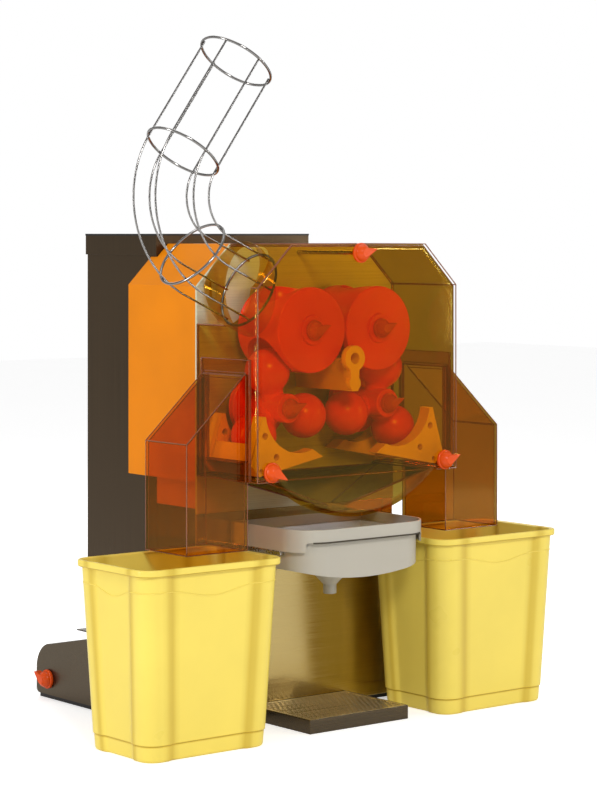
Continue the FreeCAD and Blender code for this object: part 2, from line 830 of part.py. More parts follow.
def drive_pinion():
    """Pinion that drives the left ball drum's gear, with its shaft back into the gearbox."""
    cross_teeth, teeth = int(mm("Size.cross_teeth")), int(mm("Size.pinion_teeth"))
    bearing = -mm("Size.pinion_turn")
    gaps_round = (bearing - mesh_turn_of(-1)) / (360 / cross_teeth)
    lead = (gaps_round - math.floor(gaps_round)) * 360 / teeth
    near = front + mm("Size.gear_gap")
    radius = axis_distance / 2 * teeth / cross_teeth
    pinion = gear(radius, teeth, (pinion_x, pinion_z), near, bearing + 180 + lead, True)
    tail = column_front + mm("Size.sheet_steel + Size.pinion_bite")
    stub = round_bar(
        mm("Size.pinion_shaft_radius"),
        Vector(pinion_x, near + mm("Size.gear_width"), pinion_z),
        Vector(pinion_x, tail, pinion_z),
    )
    return feature("drive_pinion", pinion.fuse(stub))


shaft_gears()
drive_pinion()

# Drive and electrics inside the column
WALL = f"({COLUMN_FRONT} + Size.sheet_steel)"
GEARBOX_END = f"({WALL} + Size.gearbox_depth)"


def drive():
    """Gearbox with a round pilot through the column's wall, and the motor behind it."""
    low, high = mm(WALL), mm(GEARBOX_END)
    half, tall = mm("Size.gearbox_width / 2"), mm("Size.gearbox_height / 2")
    casing = block((pinion_x - half, pinion_x + half), (low, high), (pinion_z - tall, pinion_z + tall))
    mouth = Vector(pinion_x, column_front, pinion_z)
    pilot = round_bar(mm("Size.bush_radius"), mouth, Vector(pinion_x, low, pinion_z))
    end = Vector(pinion_x, low + mm("Size.pinion_bite + Size.seat_gap"), pinion_z)
    bore = round_bar(mm("Size.pinion_shaft_radius + Size.running_gap"), mouth + OUT * overrun, end)
    feature("reduction_gearbox", casing.fuse(pilot).cut(bore))
    start = Vector(pinion_x, high, pinion_z)
    tail = Vector(pinion_x, high + mm("Size.motor_length"), pinion_z)
    feature("drive_motor", round_bar(mm("Size.motor_radius"), start, tail))


drive()
BOX_BASE = "(Size.inlet_z + Size.inlet_height + Size.box_rise)"
keep(
    box(
        ("-Size.box_width / 2", "Size.box_width / 2"),
        (WALL, f"{WALL} + Size.box_depth"),
        (BOX_BASE, f"{BOX_BASE} + Size.box_height"),
    ),
    "control_box",
)
SWITCH_RIGHT = "(Size.inlet_width / 2 - Size.sheet_steel)"
SWITCH_LEFT = f"({SWITCH_RIGHT} - Size.switch_width)"
SOCKET_LEFT = "(Size.sheet_steel - Size.inlet_width / 2)"
SWITCH_LOW = "(Size.inlet_z + Size.sheet_steel)"
SWITCH_HIGH = f"({SWITCH_LOW} + Size.switch_height)"
OUTSIDE = f"{COLUMN_REAR} + Size.overrun"
inlet = cut(
    box(
        ("-Size.inlet_width / 2", "Size.inlet_width / 2"),
        (f"{COLUMN_REAR} - Size.inlet_depth", COLUMN_REAR),
        ("Size.inlet_z", "Size.inlet_z + Size.inlet_height"),
    ),
    box(
        (f"{SWITCH_LEFT} - Size.seat_gap", f"{SWITCH_RIGHT} + Size.seat_gap"),
        (f"{COLUMN_REAR} - Size.switch_height / 2 - Size.seat_gap", OUTSIDE),
        (f"{SWITCH_LOW} - Size.seat_gap", f"{SWITCH_HIGH} + Size.seat_gap"),
    ),
    box(
        (SOCKET_LEFT, f"{SOCKET_LEFT} + Size.socket_width"),
        (f"{COLUMN_REAR} - Size.socket_depth", OUTSIDE),
        (SWITCH_LOW, SWITCH_HIGH),
    ),
)
keep(inlet, "mains_inlet")


def mains_switch():
    """Rocker with a shallow dished face, on a round back that it turns on."""
    low, high, face = mm(SWITCH_LOW), mm(SWITCH_HIGH), mm(COLUMN_REAR)
    middle, depth = (low + high) / 2, mm("Size.switch_height / 2")
    steps = [
        (face - mm("Size.rocker_dish"), middle),
        (face, high),
        ((face - depth, middle), (face, low)),
    ]
    return feature("mains_switch", side_prism(steps, mm(SWITCH_LEFT), mm(SWITCH_RIGHT)))


mains_switch()


# Knife holder and blade between the drums
def knife():
    half, low, high = mm("Size.holder_width / 2"), mm("Size.holder_low"), mm("Size.holder_high")
    nose_half, nose_high = mm("Size.holder_front_width / 2"), mm("Size.holder_front_high")
    taper = mm("Size.holder_taper_share")
    nose_end = drum_front - mm("Size.hub_rise")
    nose = nose_end - mm("Size.holder_front_depth")
    bar_steps = [(-half * taper, low), (half * taper, low), (half, high), (-half, high)]
    eye_z = nose_high - nose_half
    nose_steps = [
        (-nose_half * taper, low),
        (nose_half * taper, low),
        (nose_half, eye_z),
        ((0, nose_high), (-nose_half, eye_z)),
    ]
    holder = front_prism(bar_steps, nose, plate_front).fuse(front_prism(nose_steps, nose, nose_end))
    eye = mm("Size.holder_hole_radius")
    holder = pierced(holder, [(0, eye_z)], eye, nose - overrun, nose_end + overrun)
    thin, bite = mm("Size.blade_thickness / 2"), high - mm("Size.blade_bite")
    start, end = drum_front + mm("Size.blade_margin"), drum_rear - mm("Size.blade_margin")
    slot = block((-thin - gap, thin + gap), (start - gap, end + gap), (bite, high + overrun))
    feature("knife_holder", holder.cut(slot).removeSplitter())
    middle = (start + end) / 2
    steps = [(start, bite), (end, bite), (end, high), (middle, mm("Size.blade_top")), (start, high)]
    feature("knife_blade", side_prism(steps, -thin, thin))


knife()


# Peel ejectors: forks on either side of the balls, joined outside their sweep
def prong_point(name):
    """Corner of an ejector, by its shares of the housing's width out and down from the ball drum."""
    width = "Size.housing_width"
    return (
        mm(f"{width} * Size.prong_{name}_share"),
        lower_z - mm(f"{width} * Size.prong_{name}_drop_share"),
    )


def ejector(side, sign):
    top = lower_z - mm("Size.housing_width * Size.prong_top_drop_share")
    steps = [
        (mm("Size.housing_width * Size.prong_top_inner_share"), top),
        (mm("Size.housing_width * Size.prong_top_outer_share"), top),
        prong_point("side"),
        prong_point("foot"),
        prong_point("tip"),
    ]
    reach, clear = mm("Size.ball_radius"), mm("Size.prong_gap")
    ball_low, ball_high = drum_middle - reach - clear, drum_middle + reach + clear
    start = ball_low - mm("Size.prong_width")
    sweep = axis_distance - mm("Size.drum_radius * Size.cup_depth_share") + reach + clear
    radius = mm("Size.drum_radius")
    screw = [(mm("Size.cover_screw_x"), mm("Size.cover_screw_z"))]
    holes = [prong_point("upper_eye"), prong_point("lower_eye")]
    layers = []
    for low, high, arc in (
        (start, ball_low, radius),
        (ball_low, ball_high, sweep),
        (ball_high, plate_front, radius),
    ):
        layer = front_prism(steps, low, high)
        layer = pierced(layer, [(lower_x, lower_z)], arc, low - overrun, high + overrun)
        layer = pierced(layer, holes, mm("Size.prong_hole_radius"), low - overrun, high + overrun)
        layers += pierced(layer, screw, mm("Size.prong_screw_radius"), low - overrun, high + overrun).Solids
    return feature(f"{side}_ejector", sided(Part.makeCompound(layers), sign))


def sided(shape, sign):
    """The shape as it is on the right, or its mirror image on the left."""
    return shape if sign > 0 else shape.mirror(Vector(), Vector(1, 0, 0))


for side, sign in SIDES:
    ejector(side, sign)


# Juice funnel under the drums
def hopper(inset, lift):
    """Solid from the funnel's outlet to its rim, moved inwards and up."""
    half, back = mm("Size.funnel_half_width") - inset, cover_rear - inset
    nose = front - mm("Size.funnel_front") + inset
    outlet, stand = mm("Size.funnel_outlet") - inset, front - mm("Size.funnel_outlet_stand")
    top, low = mm("Size.funnel_top") + lift, mm("Size.funnel_low") + lift
    rim = [(-half, nose), (half, nose), (half, back), (-half, back)]
    mouth = [(u, stand + v) for u, v in square(outlet)]
    wires = [
        outline(steps, lambda x, y, level=level: Vector(x, y, level))
        for steps, level in ((mouth, low), (rim, top))
    ]
    return Part.makeLoft(wires, True, True)


def square(half):
    return [(-half, -half), (half, -half), (half, half), (-half, half)]


def juice_funnel():
    skin = mm("Size.funnel_skin")
    outlet, stand = mm("Size.funnel_outlet"), front - mm("Size.funnel_outlet_stand")
    low, spout = mm("Size.funnel_low"), mm("Size.funnel_spout")
    shape = hopper(0, 0).fuse(plan_prism([(u, stand + v) for u, v in square(outlet)], low - spout, low))
    bore = [(u, stand + v) for u, v in square(outlet - skin)]
    shape = shape.cut(hopper(skin, 0).fuse(hopper(skin, skin)))
    shape = shape.cut(plan_prism(bore, low - spout - overrun, low + skin))
    return feature("juice_funnel", shape.removeSplitter())


juice_funnel()

# Wire feeder: six wires and four rings, bent over to the left, ending in a clear collar
slope = math.radians(mm("Size.feed_slope"))
FEED_WAY = Vector(-math.cos(slope), 0, math.sin(slope))
FEED_UP = Vector(math.sin(slope), 0, math.cos(slope))
FEED_END = Vector(
    -mm("Size.housing_width * Size.feed_end_share"),
    front - mm("Size.feed_stand"),
    mm("Size.feed_end_z"),
)
BEND = mm("Size.feed_bend_radius")
BEND_CENTRE = FEED_END + FEED_WAY * mm("Size.feed_run") + FEED_UP * BEND
RING_ORBIT = mm("Size.feed_wire_orbit + Size.feed_wire_radius - Size.feed_weld + Size.feed_ring_radius")
FEED_RADIUS = RING_ORBIT + mm("Size.feed_ring_radius")


def swung(turn):
    """Turn about the bend's axis, in degrees."""
    return Rotation(Vector(0, 1, 0), turn)


def feeder_wire(turn):
    """One wire of the feeder, at its turn round the tube's centre line."""
    orbit, bend_turn = mm("Size.feed_wire_orbit"), mm("Size.feed_bend_turn")
    across = Vector(0, orbit * math.sin(turn), 0)
    inward = orbit * math.cos(turn)
    arm = FEED_UP * (inward - BEND)
    start = FEED_END + FEED_UP * inward + across
    stops = [BEND_CENTRE + swung(bend_turn * share).multVec(arm) + across for share in (0, 0.5, 1)]
    end = stops[2] + swung(bend_turn).multVec(FEED_WAY) * mm("Size.feed_riser")
    edges = [
        Part.LineSegment(start, stops[0]).toShape(),
        Part.Arc(*stops).toShape(),
        Part.LineSegment(stops[2], end).toShape(),
    ]
    section = Part.Wire([Part.makeCircle(mm("Size.feed_wire_radius"), start, FEED_WAY)])
    return Part.Wire(edges).makePipeShell([section], True, False)


def feeder_ring(turn, along):
    """Ring square to the tube, at a turn round the bend and a way further along."""
    swing = swung(turn)
    way = swing.multVec(FEED_WAY)
    centre = BEND_CENTRE - swing.multVec(FEED_UP) * BEND + way * along
    return Part.makeTorus(RING_ORBIT, mm("Size.feed_ring_radius"), centre, way)


def wire_feeder():
    count, margin = int(mm("Size.feed_wires")), mm("Size.feed_ring_radius")
    first, bend_turn = mm("Size.feed_first_wire"), mm("Size.feed_bend_turn")
    wires = [feeder_wire(math.radians(first + index * 360 / count)) for index in range(count)]
    rings = [
        feeder_ring(0, margin - mm("Size.feed_run")),
        feeder_ring(mm("Size.feed_low_ring_turn"), 0),
        feeder_ring(bend_turn, 0),
        feeder_ring(bend_turn, mm("Size.feed_riser") - margin),
    ]
    return feature("wire_feeder", rings[0].multiFuse(rings[1:] + wires))


def feed_collar():
    """Clear sleeve round the feeder's end, cut off upright in front of the left cup drum."""
    bore, reach = FEED_RADIUS + mm("Size.collar_gap"), mm("Size.collar_length")
    start, foot = FEED_END - FEED_WAY * reach, mm("Size.collar_foot")
    sleeve = Part.makeCylinder(bore + mm("Size.collar_skin"), reach * 2, start, FEED_WAY)
    lug = block(
        (FEED_END.x - foot * 2, FEED_END.x - foot),
        (FEED_END.y, plate_front),
        (FEED_END.z - foot, FEED_END.z + foot),
    )
    shape = sleeve.fuse(lug)
    mouth = start - FEED_WAY * overrun
    shape = shape.cut(Part.makeCylinder(bore, (reach + overrun) * 2, mouth, FEED_WAY))
    left = mm("Size.cover_skin") + overrun - half_housing
    low, high = FEED_END.z - reach * 2, FEED_END.z + reach * 2
    keep_in = block((left, FEED_END.x), (cover_front, plate_front), (low, high))
    return feature("feed_collar", shape.common(keep_in).removeSplitter())


wire_feeder()
feed_collar()


# Front cover with its chutes and captive knobs
def cover_outline(inset):
    radius, low = mm("Size.cover_arc_radius") - inset, mm("Size.cover_low") + inset
    ear = mm("Size.cover_ear") + inset
    reach = math.sqrt(radius**2 - (low + radius - ear) ** 2)
    return octagon(inset, ear) + [(reach, ear), ((0, low), (-reach, ear))]


def feeder_cutout():
    """Slot through the cover's upper left corner, open to the rear so that the cover slides off."""
    radius = FEED_RADIUS + mm("Size.collar_gap + Size.collar_skin + Size.cutout_gap")
    length = half_housing
    slot = Part.makeCylinder(radius, length, FEED_END, FEED_WAY)
    steps = [
        FEED_END + FEED_UP * radius,
        FEED_END + FEED_UP * radius + FEED_WAY * length,
        FEED_END - FEED_UP * radius + FEED_WAY * length,
        FEED_END - FEED_UP * radius,
    ]
    opening = front_prism([(step.x, step.z) for step in steps], FEED_END.y, cover_rear + overrun)
    return slot.fuse(opening)


def front_cover():
    skin, lip = mm("Size.cover_skin"), mm("Size.cover_lip")
    shape = front_prism(cover_outline(0), cover_front, cover_rear)
    shape = shape.cut(front_prism(cover_outline(skin), cover_front + skin, cover_rear + overrun))
    outside = half_housing + overrun
    under = block(
        (-outside, outside),
        (cover_front + lip, cover_rear + overrun),
        (mm("Size.cover_low") - overrun, mm("Size.cover_ear")),
    )
    windows = block(
        (-outside, outside),
        (front - mm("Size.chute_front") + skin, front - mm("Size.chute_rear") - skin),
        (mm("Size.chute_sill"), mm("Size.chute_peak") - skin * 2),
    )
    shape = shape.cut(under).cut(windows).cut(feeder_cutout())
    hole = mm("Size.screw_radius + Size.running_gap")
    shape = pierced(shape, screw_places, hole, cover_front - overrun, cover_front + skin + overrun)
    return feature("front_cover", shape)


def chute(side, sign):
    """Sloping hood outside the cover's wall, open below over the bin and inwards to the drums."""
    skin, flange = mm("Size.cover_skin"), mm("Size.chute_flange")
    inner, outer = half_housing, half_housing + mm("Size.chute_reach")
    low, eave, peak = mm("Size.chute_bottom"), mm("Size.chute_eave"), mm("Size.chute_peak")
    sill = mm("Size.chute_sill")
    y_low, y_high = front - mm("Size.chute_front"), front - mm("Size.chute_rear")
    fall = (peak - eave) / (outer - inner)
    drop = skin * math.hypot(1, fall)
    shell = front_prism([(inner, low), (outer, low), (outer, eave), (inner, peak)], y_low, y_high)
    hollow = [
        (inner + skin, low - overrun),
        (outer - skin, low - overrun),
        (outer - skin, eave + skin * fall - drop),
        (inner - overrun, peak + overrun * fall - drop),
        (inner - overrun, sill),
        (inner + skin, sill),
    ]
    shell = shell.cut(front_prism(hollow, y_low + skin, y_high - skin))
    rim_top = peak + flange * 2
    rim = block((inner, inner + skin), (y_low - flange, y_high + flange), (mm("Size.cover_ear"), rim_top))
    window = block(
        (inner - overrun, inner + skin + overrun),
        (y_low + skin, y_high - skin),
        (sill, peak - skin * 2),
    )
    return feature(f"{side}_chute", sided(shell.fuse(rim).cut(window).removeSplitter(), sign))


def cover_knobs():
    """Three wing knobs on long screws that reach back to the bearing plate."""
    turns = [mm("Size.top_knob_turn"), mm("Size.left_knob_turn"), mm("Size.drum_knob_turn")]
    for (x, z), turn, name in zip(screw_places, turns, ("top", "left", "right")):
        foot = Vector(x, cover_front - gap, z)
        screw = round_bar(mm("Size.screw_radius"), foot, Vector(x, front, z))
        knob = placed(KNOB, foot, OUT, turn)
        if name == "top":
            feature("top_cover_screw", screw)
            feature("top_cover_knob", knob)
        else:
            feature(f"{name}_cover_knob", knob.fuse(screw))


front_cover()
for side, sign in SIDES:
    chute(side, sign)
cover_knobs()

# Juice tray with its belly, spout and strainer, on two rails
TRAY_BACK = front - mm("Size.sheet_steel") - gap
TRAY_NOSE = front - mm("Size.tray_front")
SPOUT_Y = front - mm("Size.funnel_outlet_stand")


def tray_solid(inset, low, high, wall=None):
    """Tray outline with large round corners in front, moved inwards, its back by a wall of its own."""
    half, nose = mm("Size.tray_half_width") - inset, TRAY_NOSE + inset
    back = TRAY_BACK - (inset if wall is None else wall)
    corner = mm("Size.tray_corner") - inset
    bulge = corner * (1 - EIGHTH)
    steps = [
        (-half, back),
        (-half, nose + corner),
        ((bulge - half, nose + bulge), (corner - half, nose)),
        (half - corner, nose),
        ((half - bulge, nose + bulge), (half, nose + corner)),
        (half, back),
    ]
    return plan_prism(steps, low, high)


def tray_belly(inset):
    """Body of the tray under its bands, with a floor that falls to the middle."""
    step, top, floor = mm("Size.tray_side_step"), mm("Size.tray_top"), mm("Size.tray_floor")
    half, rise = mm("Size.tray_half_width") - step, mm("Size.tray_belly_rise")
    radius = (half**2 + rise**2) / (2 * rise)
    low, high = TRAY_NOSE - overrun, TRAY_BACK + overrun
    centre = floor + radius
    drum = round_bar(radius - inset, Vector(0, low, centre), Vector(0, high, centre))
    sides = block((-half, half), (low, high), (floor + rise + inset, top))
    return tray_solid(step + inset, floor - overrun, top, inset).common(drum.fuse(sides))


def juice_tray():
    top, skin, step = mm("Size.tray_top"), mm("Size.tray_skin"), mm("Size.tray_side_step")
    band, lip, floor = top - mm("Size.tray_band"), top - mm("Size.tray_lip"), mm("Size.tray_floor")
    grip = mm("Size.tray_half_width") - step * 2
    grip_end = TRAY_NOSE + mm("Size.tray_corner")
    groove = block((-grip, grip), (TRAY_NOSE - overrun, grip_end), (lip - overrun, band))
    cone, low = mm("Size.tray_cone"), floor - mm("Size.tray_cone")
    nozzle, bore = mm("Size.nozzle_radius"), mm("Size.nozzle_bore")
    spout = mm("Size.tray_spout_radius")
    funnel = Part.makeCone(nozzle, spout, cone, Vector(0, SPOUT_Y, low))
    throat = Part.makeCone(bore, spout - skin, cone, Vector(0, SPOUT_Y, low))
    collar = round_bar(spout, Vector(0, SPOUT_Y, floor), Vector(0, SPOUT_Y, floor + skin))
    well = round_bar(spout - skin, Vector(0, SPOUT_Y, floor), Vector(0, SPOUT_Y, top))
    shape = tray_solid(0, lip, top).cut(groove).fuse([tray_belly(0), funnel, collar])
    under = tray_solid(skin, lip - overrun, band).cut(tray_solid(step, lip - overrun, band))
    bowl = tray_solid(skin, band + skin, top + overrun)
    shape = shape.cut([tray_belly(skin), bowl, throat, well, under])
    feature("juice_tray", shape.removeSplitter())
    start, end = Vector(0, SPOUT_Y, low - mm("Size.nozzle_length")), Vector(0, SPOUT_Y, low)
    hole = round_bar(bore, start, end)
    feature("spout_nozzle", round_bar(nozzle, start, end).cut(hole))


def tray_rails():
    """Two bars on the splash plate that carry the tray by its side bands."""
    half = mm("Size.tray_half_width")
    top, back = mm("Size.tray_top - Size.tray_lip") - gap, front - mm("Size.sheet_steel")
    rails = [
        block(
            (sign * (half - mm("Size.tray_side_step") + gap), sign * half),
            (back - mm("Size.rail_length"), back),
            (top - mm("Size.rail_height"), top),
        )
        for _, sign in SIDES
    ]
    feature("tray_rails", Part.makeCompound(rails))


def slots_across(half, count, share, y, z):
    """Row of slots along Y, spread evenly over a width and centred on it."""
    pitch = 2 * half / count
    margin = pitch * (1 - share) / 2
    starts = [index * pitch + margin - half for index in range(count)]
    return Part.makeCompound([block((start, start + pitch * share), y, z) for start in starts])


def pulp_strainer():
    """Shallow perforated pan that hangs in the tray by its rim."""
    inset, skin = mm("Size.strainer_inset"), mm("Size.strainer_skin")
    top = mm("Size.tray_top - Size.tray_band + Size.tray_skin") + gap
    floor = top - mm("Size.strainer_depth")
    pan = tray_solid(inset, floor, top).fuse(tray_solid(mm("Size.tray_skin") + gap, top, top + skin))
    pan = pan.cut(tray_solid(inset + skin, floor + skin, top + overrun))
    half = mm("Size.tray_half_width - Size.tray_corner")
    slots = slots_across(
        half,
        int(mm("Size.strainer_slots")),
        mm("Size.strainer_slot_share"),
        (TRAY_NOSE + inset * 2, TRAY_BACK - inset * 2),
        (floor - overrun, floor + overrun),
    )
    return feature("pulp_strainer", pan.cut(slots))


juice_tray()
tray_rails()
pulp_strainer()

# Drip tray and its grate
DRIP_FRONT = f"({FRONT} - Size.drip_front)"
DRIP_REAR = f"({FRONT} - Size.sheet_steel - Size.seat_gap)"
LEDGE = "(Size.sheet_steel + Size.grate_ledge)"
drip = cut(
    box(
        ("-Size.drip_half_width", "Size.drip_half_width"),
        (DRIP_FRONT, DRIP_REAR),
        ("0", "Size.drip_height"),
    ),
    box(
        ("-Size.drip_half_width + Size.sheet_steel", "Size.drip_half_width - Size.sheet_steel"),
        (f"{DRIP_FRONT} + Size.sheet_steel", f"{DRIP_REAR} - Size.sheet_steel"),
        ("Size.drip_height - Size.sheet_steel", "Size.drip_height + Size.overrun"),
    ),
    box(
        (f"-Size.drip_half_width + {LEDGE}", f"Size.drip_half_width - {LEDGE}"),
        (f"{DRIP_FRONT} + {LEDGE}", f"{DRIP_REAR} - {LEDGE}"),
        ("Size.sheet_steel", "Size.drip_height + Size.overrun"),
    ),
)
keep(drip, "drip_tray")


def drip_grate():
    wall, margin = mm("Size.sheet_steel") + gap, mm("Size.grate_margin")
    half = mm("Size.drip_half_width") - wall
    low, high = mm(DRIP_FRONT) + wall, mm(DRIP_REAR) - wall
    top = mm("Size.drip_height")
    plate = block((-half, half), (low, high), (top - mm("Size.sheet_steel"), top))
    slots = slots_across(
        half - margin,
        int(mm("Size.grate_slots")),
        mm("Size.grate_slot_share"),
        (low + margin, high - margin),
        (0, top + overrun),
    )
    return feature("drip_grate", plate.cut(slots))


drip_grate()


# Bins: tapered, with raised corners, a floor and a rolled rim
def spun(point, quarter):
    """Point turned by quarter turns about the origin."""
    u, v = point
    return ((u, v), (-v, u), (-u, -v), (v, -u))[quarter]


def bin_outline(half_x, half_y, corner, pilaster, recess):
    """Rectangle with round corners, whose sides are sunk between the corner bands."""
    steps, bulge = [], corner * (1 - EIGHTH)
    for quarter in range(4):
        along, across = (half_x, half_y) if quarter % 2 == 0 else (half_y, half_x)
        sunk = [
            (pilaster + recess - along, recess - across),
            (along - pilaster - recess, recess - across),
            (along - pilaster, -across),
        ]
        side = [(pilaster - along, -across)] + (sunk if recess else []) + [(along - corner, -across)]
        steps += [spun(point, quarter) for point in side]
        round_off = ((along - bulge, bulge - across), (along, corner - across))
        steps.append(tuple(spun(point, quarter) for point in round_off))
    return steps


def bin_solid(inset, low, high, place):
    """Tapered body between two heights; the taper is that of the whole bin."""
    x, y = place
    rim, recess = mm("Size.bin_rim_reach"), mm("Size.bin_recess")
    wires = []
    for z in (low, high):
        share = z / mm("Size.bin_height")
        half_x, half_y = (
            mm(f"Size.bin_foot_half_{axis}") * (1 - share)
            + (mm(f"Size.bin_rim_half_{axis}") - rim) * share
            - inset
            for axis in "xy"
        )
        corner, pilaster = mm("Size.bin_corner") - inset, mm("Size.bin_pilaster") - inset
        steps = bin_outline(half_x, half_y, corner, pilaster, recess)
        wires.append(outline(steps, lambda u, v, z=z: Vector(x + u, y + v, z)))
    return Part.makeLoft(wires, True, True)


def peel_bin(side, x):
    y, top, skin = front - mm("Size.bin_stand"), mm("Size.bin_height"), mm("Size.bin_skin")
    place = (x, y)
    low, reach = top - mm("Size.bin_rim_height"), mm("Size.bin_rim_reach")
    half_x, half_y = mm("Size.bin_rim_half_x"), mm("Size.bin_rim_half_y")
    corner = mm("Size.bin_corner") + reach
    steps = bin_outline(half_x, half_y, corner, corner + reach, 0)
    face = Part.Face(outline(steps, lambda u, v: Vector(x + u, y + v, low)))
    rim = face.extrude(Vector(0, 0, top - low))
    hollow = bin_solid(skin, mm("Size.bin_floor"), top + overrun, place)
    return feature(f"{side}_bin", bin_solid(0, 0, top, place).fuse(rim).cut(hollow).removeSplitter())


peel_bin("left", -mm("Size.left_bin_x"))
peel_bin("right", mm("Size.right_bin_x"))


# Side knobs that clamp the base hood to the plinth
def side_knob(side, sign):
    y, z, half = rear - mm("Size.side_knob_rear"), mm("Size.side_knob_z"), mm("Size.base_width / 2")
    foot = Vector(sign * (half + gap), y, z)
    inner_end = Vector(sign * (half - mm("Size.side_screw")), y, z)
    knob = placed(KNOB, foot, Vector(sign, 0, 0), mm("Size.side_knob_turn"))
    return feature(f"{side}_side_knob", knob.fuse(round_bar(mm("Size.screw_radius"), inner_end, foot)))


for side, sign in SIDES:
    side_knob(side, sign)

# Check and write the sub-parts
doc.recompute()
for item in doc.Objects:
    if "Invalid" in item.State or "Error" in item.State:
        raise RuntimeError(f"{item.Name} failed: {item.State}")
for item in nodes:
    if item.Shape.isNull() or not item.Shape.isValid():
        raise RuntimeError(f"{item.Label} has no valid shape")
os.makedirs("parts", exist_ok=True)
for item in nodes:
    item.Shape.exportStep(f"parts/{item.Label}.step")
print(len(nodes), "sub-parts written")
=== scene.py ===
import json
import math

import bmesh
import bpy
from bpy.props import FloatProperty, FloatVectorProperty, IntProperty, PointerProperty
from mathutils import Matrix, Vector

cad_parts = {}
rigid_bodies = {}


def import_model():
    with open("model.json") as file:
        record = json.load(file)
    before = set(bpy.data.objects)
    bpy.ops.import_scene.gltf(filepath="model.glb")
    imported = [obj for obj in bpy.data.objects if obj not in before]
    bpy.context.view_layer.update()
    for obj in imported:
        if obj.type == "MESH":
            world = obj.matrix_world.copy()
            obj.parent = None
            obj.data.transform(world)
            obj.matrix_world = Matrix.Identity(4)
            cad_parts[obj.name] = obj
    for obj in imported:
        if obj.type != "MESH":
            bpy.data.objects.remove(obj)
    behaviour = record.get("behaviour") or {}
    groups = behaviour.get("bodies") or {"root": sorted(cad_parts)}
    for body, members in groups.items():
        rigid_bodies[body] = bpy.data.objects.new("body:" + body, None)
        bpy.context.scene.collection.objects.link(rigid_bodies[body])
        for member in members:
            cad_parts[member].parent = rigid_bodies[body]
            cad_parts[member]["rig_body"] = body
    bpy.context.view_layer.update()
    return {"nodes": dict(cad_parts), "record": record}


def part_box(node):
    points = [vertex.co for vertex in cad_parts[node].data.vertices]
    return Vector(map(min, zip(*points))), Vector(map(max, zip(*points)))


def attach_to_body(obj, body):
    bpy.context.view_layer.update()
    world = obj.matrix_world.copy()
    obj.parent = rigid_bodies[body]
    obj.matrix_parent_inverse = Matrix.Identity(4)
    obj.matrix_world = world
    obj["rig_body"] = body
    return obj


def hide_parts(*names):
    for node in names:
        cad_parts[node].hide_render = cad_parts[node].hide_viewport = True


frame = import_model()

bl_info = {
    "name": "Citrus juicer",
    "version": (1, 0, 0),
    "blender": (4, 5, 0),
    "location": "3D View > Sidebar > Juicer",
    "description": "Builds the looks of a citrus juicer round its packed model",
    "category": "Add Mesh",
}

SLOT_OF = {row["node"]: row["material_slot"] for row in frame["record"]["subparts"]}
SIDES = (("left", -1), ("right", 1))
UP, FORWARDS, REARWARDS = (0, 0, 1), (0, -1, 0), (0, 1, 0)
TINY = 1e-5
FLAT_WITHIN = math.radians(0.5)
ROW_SHARE = math.sqrt(3) / 2


def level(node, axis, end):
    """One side of a node's box: axis 0 to 2, end 0 for the lowest and 1 for the highest."""
    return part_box(node)[end][axis]


def axis_of(node):
    """Where the axis of a node that is round about Y passes y = 0."""
    low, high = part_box(node)
    return Vector(((low.x + high.x) / 2, 0, (low.z + high.z) / 2))


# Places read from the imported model, in metres
BODY_FRONT = level("gear_housing", 1, 0)
COVER_FRONT = level("front_cover", 1, 0)
COVER_REAR = level("front_cover", 1, 1)
HALF_HOUSING = level("gear_housing", 0, 1)
HOUSING_TOP = level("gear_housing", 2, 1)

# Places as in the source, in metres: the cover's screws as (x, z), and its outline
COVER_SCREWS = {"top": (0.0, 0.707), "left": (-0.168, 0.389), "right": (0.168, 0.389)}
COVER_EAR, COVER_CHAMFER, COVER_LOW, COVER_ARC = 0.375, 0.063, 0.313, 0.222

# The feeder's centre line as in the source: its end, its slope, then a run, a bend and a riser
FEED_SLOPE = math.radians(25)
FEED_WAY = Vector((-math.cos(FEED_SLOPE), 0, math.sin(FEED_SLOPE)))
FEED_UP = Vector((math.sin(FEED_SLOPE), 0, math.cos(FEED_SLOPE)))
FEED_END = Vector((-0.146, -0.2495, 0.6516))
FEED_RUN, FEED_BEND, FEED_TURN, FEED_RISER = 0.086, 0.112, 100.5, 0.168
BEND_CENTRE = FEED_END + FEED_WAY * FEED_RUN + FEED_UP * FEED_BEND

# Each pocket or ball is a third of a turn from the next, and the first is this far off the line
# between the drums' axes
THIRD, LEAD = math.radians(120), math.radians(30)


# Sizes and colours that a user would change
def length(name, default, description):
    return FloatProperty(
        name=name,
        description=description,
        default=default,
        min=0.0,
        max=1.0,
        precision=4,
        unit="LENGTH",
        subtype="DISTANCE",
    )


def share_of(name, default, description):
    return FloatProperty(
        name=name, description=description, default=default, min=0.0, max=1.0, subtype="FACTOR"
    )


def colour(name, default, description):
    return FloatVectorProperty(
        name=name,
        description=description,
        default=default,
        size=3,
        min=0.0,
        max=1.0,
        subtype="COLOR",
    )


